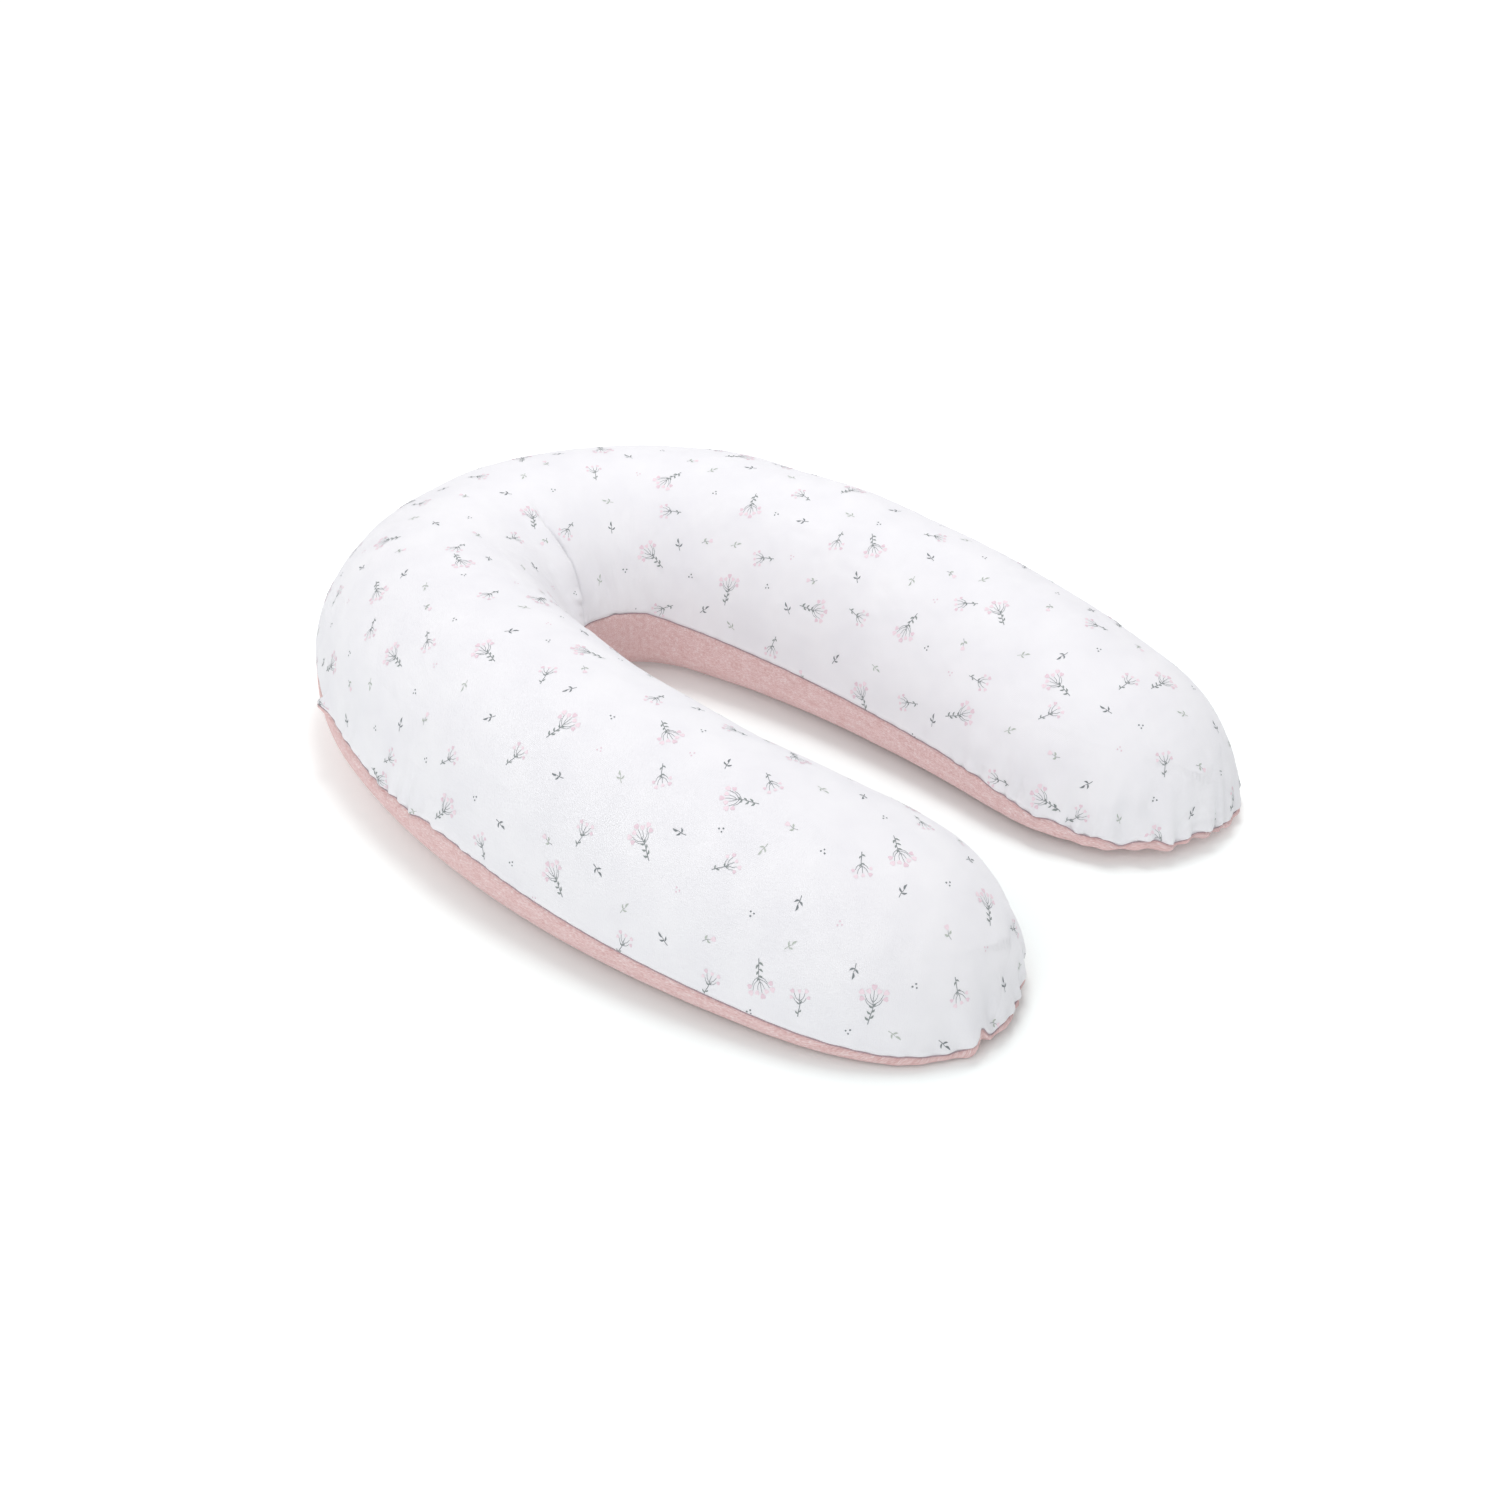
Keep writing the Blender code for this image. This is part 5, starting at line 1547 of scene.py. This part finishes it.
def tape(name, side, half_angle, radius_shift):
    """A tape with a thickness and a slight ripple, from just behind the coil to its far edge."""
    across = [1.9, 2.6, 3.6, 4.8, 6.0, 7.2, 8.3, 9.0]    # millimetres off the zip line
    steps = max(24, int(half_angle * 4))
    places, faces, uvs = [], [], []
    for i in range(steps + 1):
        angle = math.radians(half_angle) * (2 * i / steps - 1)
        for depth in (0.0, TAPE_THICKNESS):
            for off in across:
                ripple = 0.06 * MM * math.sin(i * 0.7 + off)
                radius = wall_radius(off * MM) - radius_shift - depth + ripple
                places.append(on_the_back(angle, radius, ZIP_HEIGHT + side * off * MM))
                uvs.append((angle * OUTER_RADIUS, off * MM))
    width = len(across)
    for i in range(steps):
        for layer in (0, 1):
            a = i * 2 * width + layer * width
            for j in range(width - 1):
                quad = (a + j, a + j + 1, a + j + 1 + 2 * width, a + j + 2 * width)
                faces.append(quad if layer else quad[::-1])
        for j in (0, width - 1):
            a = i * 2 * width + j
            faces.append((a, a + width, a + 3 * width, a + 2 * width))
    mesh = bpy.data.meshes.new(name)
    mesh.from_pydata(places, [], faces)
    layer = mesh.uv_layers.new(name="metres")
    for loop in mesh.loops:
        layer.data[loop.index].uv = uvs[loop.vertex_index]
    mesh.shade_smooth()
    mesh.set_sharp_from_angle(angle=math.radians(40))
    return in_scene(name, mesh)


def coil(name, side, half_angle, radius):
    """One spiral of nylon, 1.25 mm from turn to turn, flattened so that the slider can run over it."""
    length = 2 * math.radians(half_angle) * radius
    turns = int(length / COIL_PITCH)
    places = []
    for k in range(turns * COIL_STEPS + 1):
        turn = k / COIL_STEPS * 2 * math.pi
        angle = math.radians(half_angle) * (2 * k / (turns * COIL_STEPS) - 1)
        off = 1.35 * MM + 0.62 * MM * math.sin(turn)
        places.append(on_the_back(angle, radius + 0.45 * MM * math.cos(turn), ZIP_HEIGHT + side * off))
    return tube_through(name, places, COIL_THREAD_RADIUS, 5)


print("coil thread:", round(2 * COIL_THREAD_RADIUS / MM, 2), "mm thick")

# %% Nylon and twill
TWILL = 1.0 * MM               # from one rib to the next, drawn at twice its real size so that it shows
HERRINGBONE = 2.4 * MM         # the width of one stripe before the ribs turn back


def nylon(name, colour):
    """Nylon monofilament is a smooth plastic, with a soft highlight on every turn of the coil."""
    material, tree, shader = new_material(name, Roughness=0.35, IOR=1.53, Subsurface_Weight=0.08)
    shader.inputs["Subsurface Radius"].default_value = (0.001, 0.001, 0.001)
    place = add_node(tree, "TexCoord")
    cloudy = add_node(tree, "TexNoise", {"Vector": place.outputs["Object"], "Scale": 300.0})
    tone = add_node(tree, "MapRange", {"Value": cloudy.outputs["Fac"], "To Min": 0.93, "To Max": 1.05})
    dyeing = {0: linear(colour)[:3], "Scale": tone.outputs["Result"]}
    dyed = add_node(tree, "VectorMath", dyeing, operation="SCALE")
    tree.links.new(dyed.outputs["Vector"], shader.inputs["Base Color"])
    return material


def twill(name, colour, dark):
    """Woven polyester tape: a matt herringbone twill, a fine slanting rib that turns back on itself, with
    painted shade in its hollows.
    """
    material, tree, shader = new_material(name, Roughness=0.75, Sheen_Weight=0.15)
    metres = add_node(tree, "UVMap", uv_map="metres")
    parts = add_node(tree, "SeparateXYZ", {"Vector": metres.outputs["UV"]})
    fold = add_node(tree, "Math", {0: parts.outputs["Y"], 1: HERRINGBONE}, operation="PINGPONG")
    slope = add_node(tree, "Math", {0: parts.outputs["X"], 1: fold.outputs["Value"]}, operation="ADD")
    one_rib = {0: slope.outputs["Value"], 1: 2 * math.pi / TWILL}
    phase = add_node(tree, "Math", one_rib, operation="MULTIPLY")
    rib = add_node(tree, "Math", {0: phase.outputs["Value"]}, operation="SINE")
    both = add_node(tree, "MapRange", {"Value": rib.outputs["Value"], "From Min": -1.0, "From Max": 1.0})
    tone = add_node(tree, "ValToRGB", {"Fac": both.outputs["Result"]})
    # Painted shade: the colour falls to the dark stop in the hollows between the ribs, where the relief is
    # lowest.
    colour_stops(tone, [(0.0, dark), (1.0, colour)])
    ribbing = {"Height": both.outputs["Result"], "Strength": 0.5, "Distance": 0.15 * MM}
    relief = add_node(tree, "Bump", ribbing)
    tree.links.new(tone.outputs["Color"], shader.inputs["Base Color"])
    tree.links.new(relief.outputs["Normal"], shader.inputs["Normal"])
    return material


print("twill ribs every", round(TWILL / MM, 1), "mm")

# %% Both zips
# The second colour of each tape is the painted shade of its rib hollows.
rose_tape = twill("rose_twill_tape", "#CDB0B4", "#B8979C")
rose_coil = nylon("rose_nylon_coil", "#C4A2A7")
white_tape = twill("white_twill_tape", "#ECEAE6", "#D8D5CF")
white_coil = nylon("white_nylon_coil", "#E6E4E0")
# For each zip: half its angle, how far its tapes lie behind the wall, its coils' radius, and its finishes.
zips = {
    "cover": (ZIP_HALF_ANGLE, 1.5 * MM, OUTER_RADIUS - 0.45 * MM, rose_tape, rose_coil, "pink"),
    "casing": (INNER_ZIP_HALF_ANGLE, 7.1 * MM, OUTER_RADIUS - 6.1 * MM, white_tape, white_coil, "white"),
}
for layer_name, (half_angle, radius_shift, coil_radius, tape_finish, coil_finish, dye) in zips.items():
    for side, place_name in ((1, "upper"), (-1, "lower")):
        strip = tape(f"{layer_name}_tape_{place_name}", side, half_angle, radius_shift)
        strip.data.materials.append(tape_finish)
        finish_piece(strip, "pillow", [f"{layer_name}_zip_tape_{place_name}"])
        spiral = coil(f"{layer_name}_coil_{place_name}", side, half_angle - 0.2, coil_radius)
        spiral.data.materials.append(coil_finish)
        finish_piece(spiral, "pillow", [f"{layer_name}_zip_coil_{place_name}"])
print("zips:", {k: round(v[0] * 2, 1) for k, v in zips.items()}, "degrees round the back")

# %% [markdown]
# A row of topstitching on each side holds the turned edge to the tape. Each stitch is its own short arc
# of thread that dips into the cloth at both ends, because a painted dashed line has no thickness when
# seen from the side.

# %% Topstitching
STITCH_PITCH = 3.2 * MM
STITCH_ROW = ZIP_SLOT + 3.0 * MM
stitches = []
half_zip = math.radians(ZIP_HALF_ANGLE)
for side in (1, -1):
    steps = int(2 * half_zip * OUTER_RADIUS / STITCH_PITCH)
    for k in range(steps):
        a0 = half_zip * (2 * (k + 0.12) / steps - 1)
        a1 = half_zip * (2 * (k + 0.80) / steps - 1)
        places = []
        for t in (0, 0.25, 0.5, 0.75, 1):
            out = 0.12 * MM + 0.16 * MM * math.sin(math.pi * t)
            radius = wall_radius(STITCH_ROW) + out
            places.append(on_the_back(a0 + (a1 - a0) * t, radius, ZIP_HEIGHT + side * STITCH_ROW))
        stitches.append(tube_through("stitch", places, 0.17 * MM, 5))
topstitching = joined("zip_topstitching", stitches)
topstitching.data.materials.append(thread_white)
finish_piece(topstitching, "pillow")
print("stitches along the zip:", len(stitches))

# %% [markdown]
# ## Care label
# A satin ribbon sewn into the base panel behind the zip. It is a short strip of cloth with one free edge
# that curls, left blank here. Satin's long floats make it the one shiny cloth on the pillow.

# %% Label
LABEL = (0.040, 0.016)
LONG, SHORT = 20, 8            # cells along the label and up it
low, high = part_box("care_label")
label_angle = math.atan2(bend_centre.x - (low.x + high.x) / 2, (low.y + high.y) / 2 - bend_centre.y)
label_radius = math.hypot((low.x + high.x) / 2 - bend_centre.x, (low.y + high.y) / 2 - bend_centre.y)
places, faces = [], []
for i in range(LONG + 1):
    angle = label_angle + (i / LONG - 0.5) * LABEL[0] / label_radius
    for j in range(SHORT + 1):
        curl = 0.25 * MM * math.sin(i * 0.55) * (1 - j / SHORT) ** 2
        places.append(on_the_back(angle, label_radius + curl, low.z + LABEL[1] * j / SHORT))
for a in range(0, LONG * (SHORT + 1), SHORT + 1):
    faces += [(a + j, a + j + 1, a + SHORT + j + 2, a + SHORT + j + 1) for j in range(SHORT)]
label_mesh = bpy.data.meshes.new("satin_care_label")
label_mesh.from_pydata(places, [], faces)
label_mesh.shade_smooth()
care_label = in_scene("satin_care_label", label_mesh)
satin, tree, shader = new_material(
    "woven_polyester_satin", Roughness=0.35, Anisotropic=0.5, Sheen_Weight=0.1
)
place = add_node(tree, "TexCoord")
floats = add_node(tree, "Mapping", {"Vector": place.outputs["Object"], "Scale": (300.0, 300.0, 2600.0)})
yarns = add_node(tree, "TexNoise", {"Vector": floats.outputs["Vector"], "Scale": 1.0})
satin_tone = add_node(tree, "ValToRGB", {"Fac": yarns.outputs["Fac"]})
colour_stops(satin_tone, [(0.3, "#EFEDE6"), (0.7, "#FAF9F5")])
tree.links.new(satin_tone.outputs["Color"], shader.inputs["Base Color"])
label_mesh.materials.append(satin)
finish_piece(care_label, "pillow", ["care_label"])
print("label:", [round(side / MM) for side in LABEL], "mm")

# %% [markdown]
# ## Sliders, pull and stops
# The small metal parts are already right in the engineering model, so they stay, with better finishes.
# The cover's slider and pull are die-cast zinc with a baked rose lacquer: colour with a thin clear skin,
# and a little metal showing where it rubs. The casing's slider is the same casting left bare and tumbled,
# dull and faintly pitted.

# %% Lacquered and bare zinc
lacquer, tree, shader = new_material(
    "rose_lacquered_zinc", Roughness=0.32, Coat_Weight=0.5, Coat_Roughness=0.12
)
place = add_node(tree, "TexCoord")
pitted = {"Vector": place.outputs["Object"], "Scale": 1500.0, "Detail": 2.0}
orange_peel = add_node(tree, "TexNoise", pitted)
skinning = {"Height": orange_peel.outputs["Fac"], "Strength": 0.15, "Distance": 0.05 * MM}
skin = add_node(tree, "Bump", skinning)
edge_wear = add_node(tree, "NewGeometry")
wearing = {"Value": edge_wear.outputs["Pointiness"], "From Min": 0.56, "From Max": 0.68}
worn = add_node(tree, "MapRange", wearing)
rose_to_metal = {"Factor": worn.outputs["Result"], "A": linear("#B8949A"), "B": linear("#C9BCBB")}
paint = add_node(tree, "Mix", rose_to_metal, data_type="RGBA")
tree.links.new(paint.outputs[2], shader.inputs["Base Color"])
tree.links.new(skin.outputs["Normal"], shader.inputs["Normal"])

bare_zinc, tree, shader = new_material("tumbled_cast_zinc", Metallic=1.0)
place = add_node(tree, "TexCoord")
pits = add_node(tree, "TexNoise", {"Vector": place.outputs["Object"], "Scale": 1800.0, "Detail": 4.0})
dull = add_node(tree, "MapRange", {"Value": pits.outputs["Fac"], "To Min": 0.32, "To Max": 0.55})
zinc_tone = add_node(tree, "ValToRGB", {"Fac": pits.outputs["Fac"]})
colour_stops(zinc_tone, [(0.3, "#A9ABB0"), (0.7, "#C3C5C9")])
skin = add_node(tree, "Bump", {"Height": pits.outputs["Fac"], "Strength": 0.2, "Distance": 0.05 * MM})
tree.links.new(dull.outputs["Result"], shader.inputs["Roughness"])
tree.links.new(zinc_tone.outputs["Color"], shader.inputs["Base Color"])
tree.links.new(skin.outputs["Normal"], shader.inputs["Normal"])

finishes = (
    (lacquer, ("cover_zip_slider", "cover_zip_pull", "cover_zip_stop_closed", "cover_zip_stop_open")),
    (bare_zinc, ("casing_zip_slider", "casing_zip_stop_closed", "casing_zip_stop_open")),
)
for material, nodes in finishes:
    for node in nodes:
        for place in frame["nodes"][node].material_slots:
            place.material = material
hidden = [n for n, o in frame["nodes"].items() if o.hide_render]
print("engineering nodes replaced:", len(hidden), " kept:", sorted(set(frame["nodes"]) - set(hidden)))
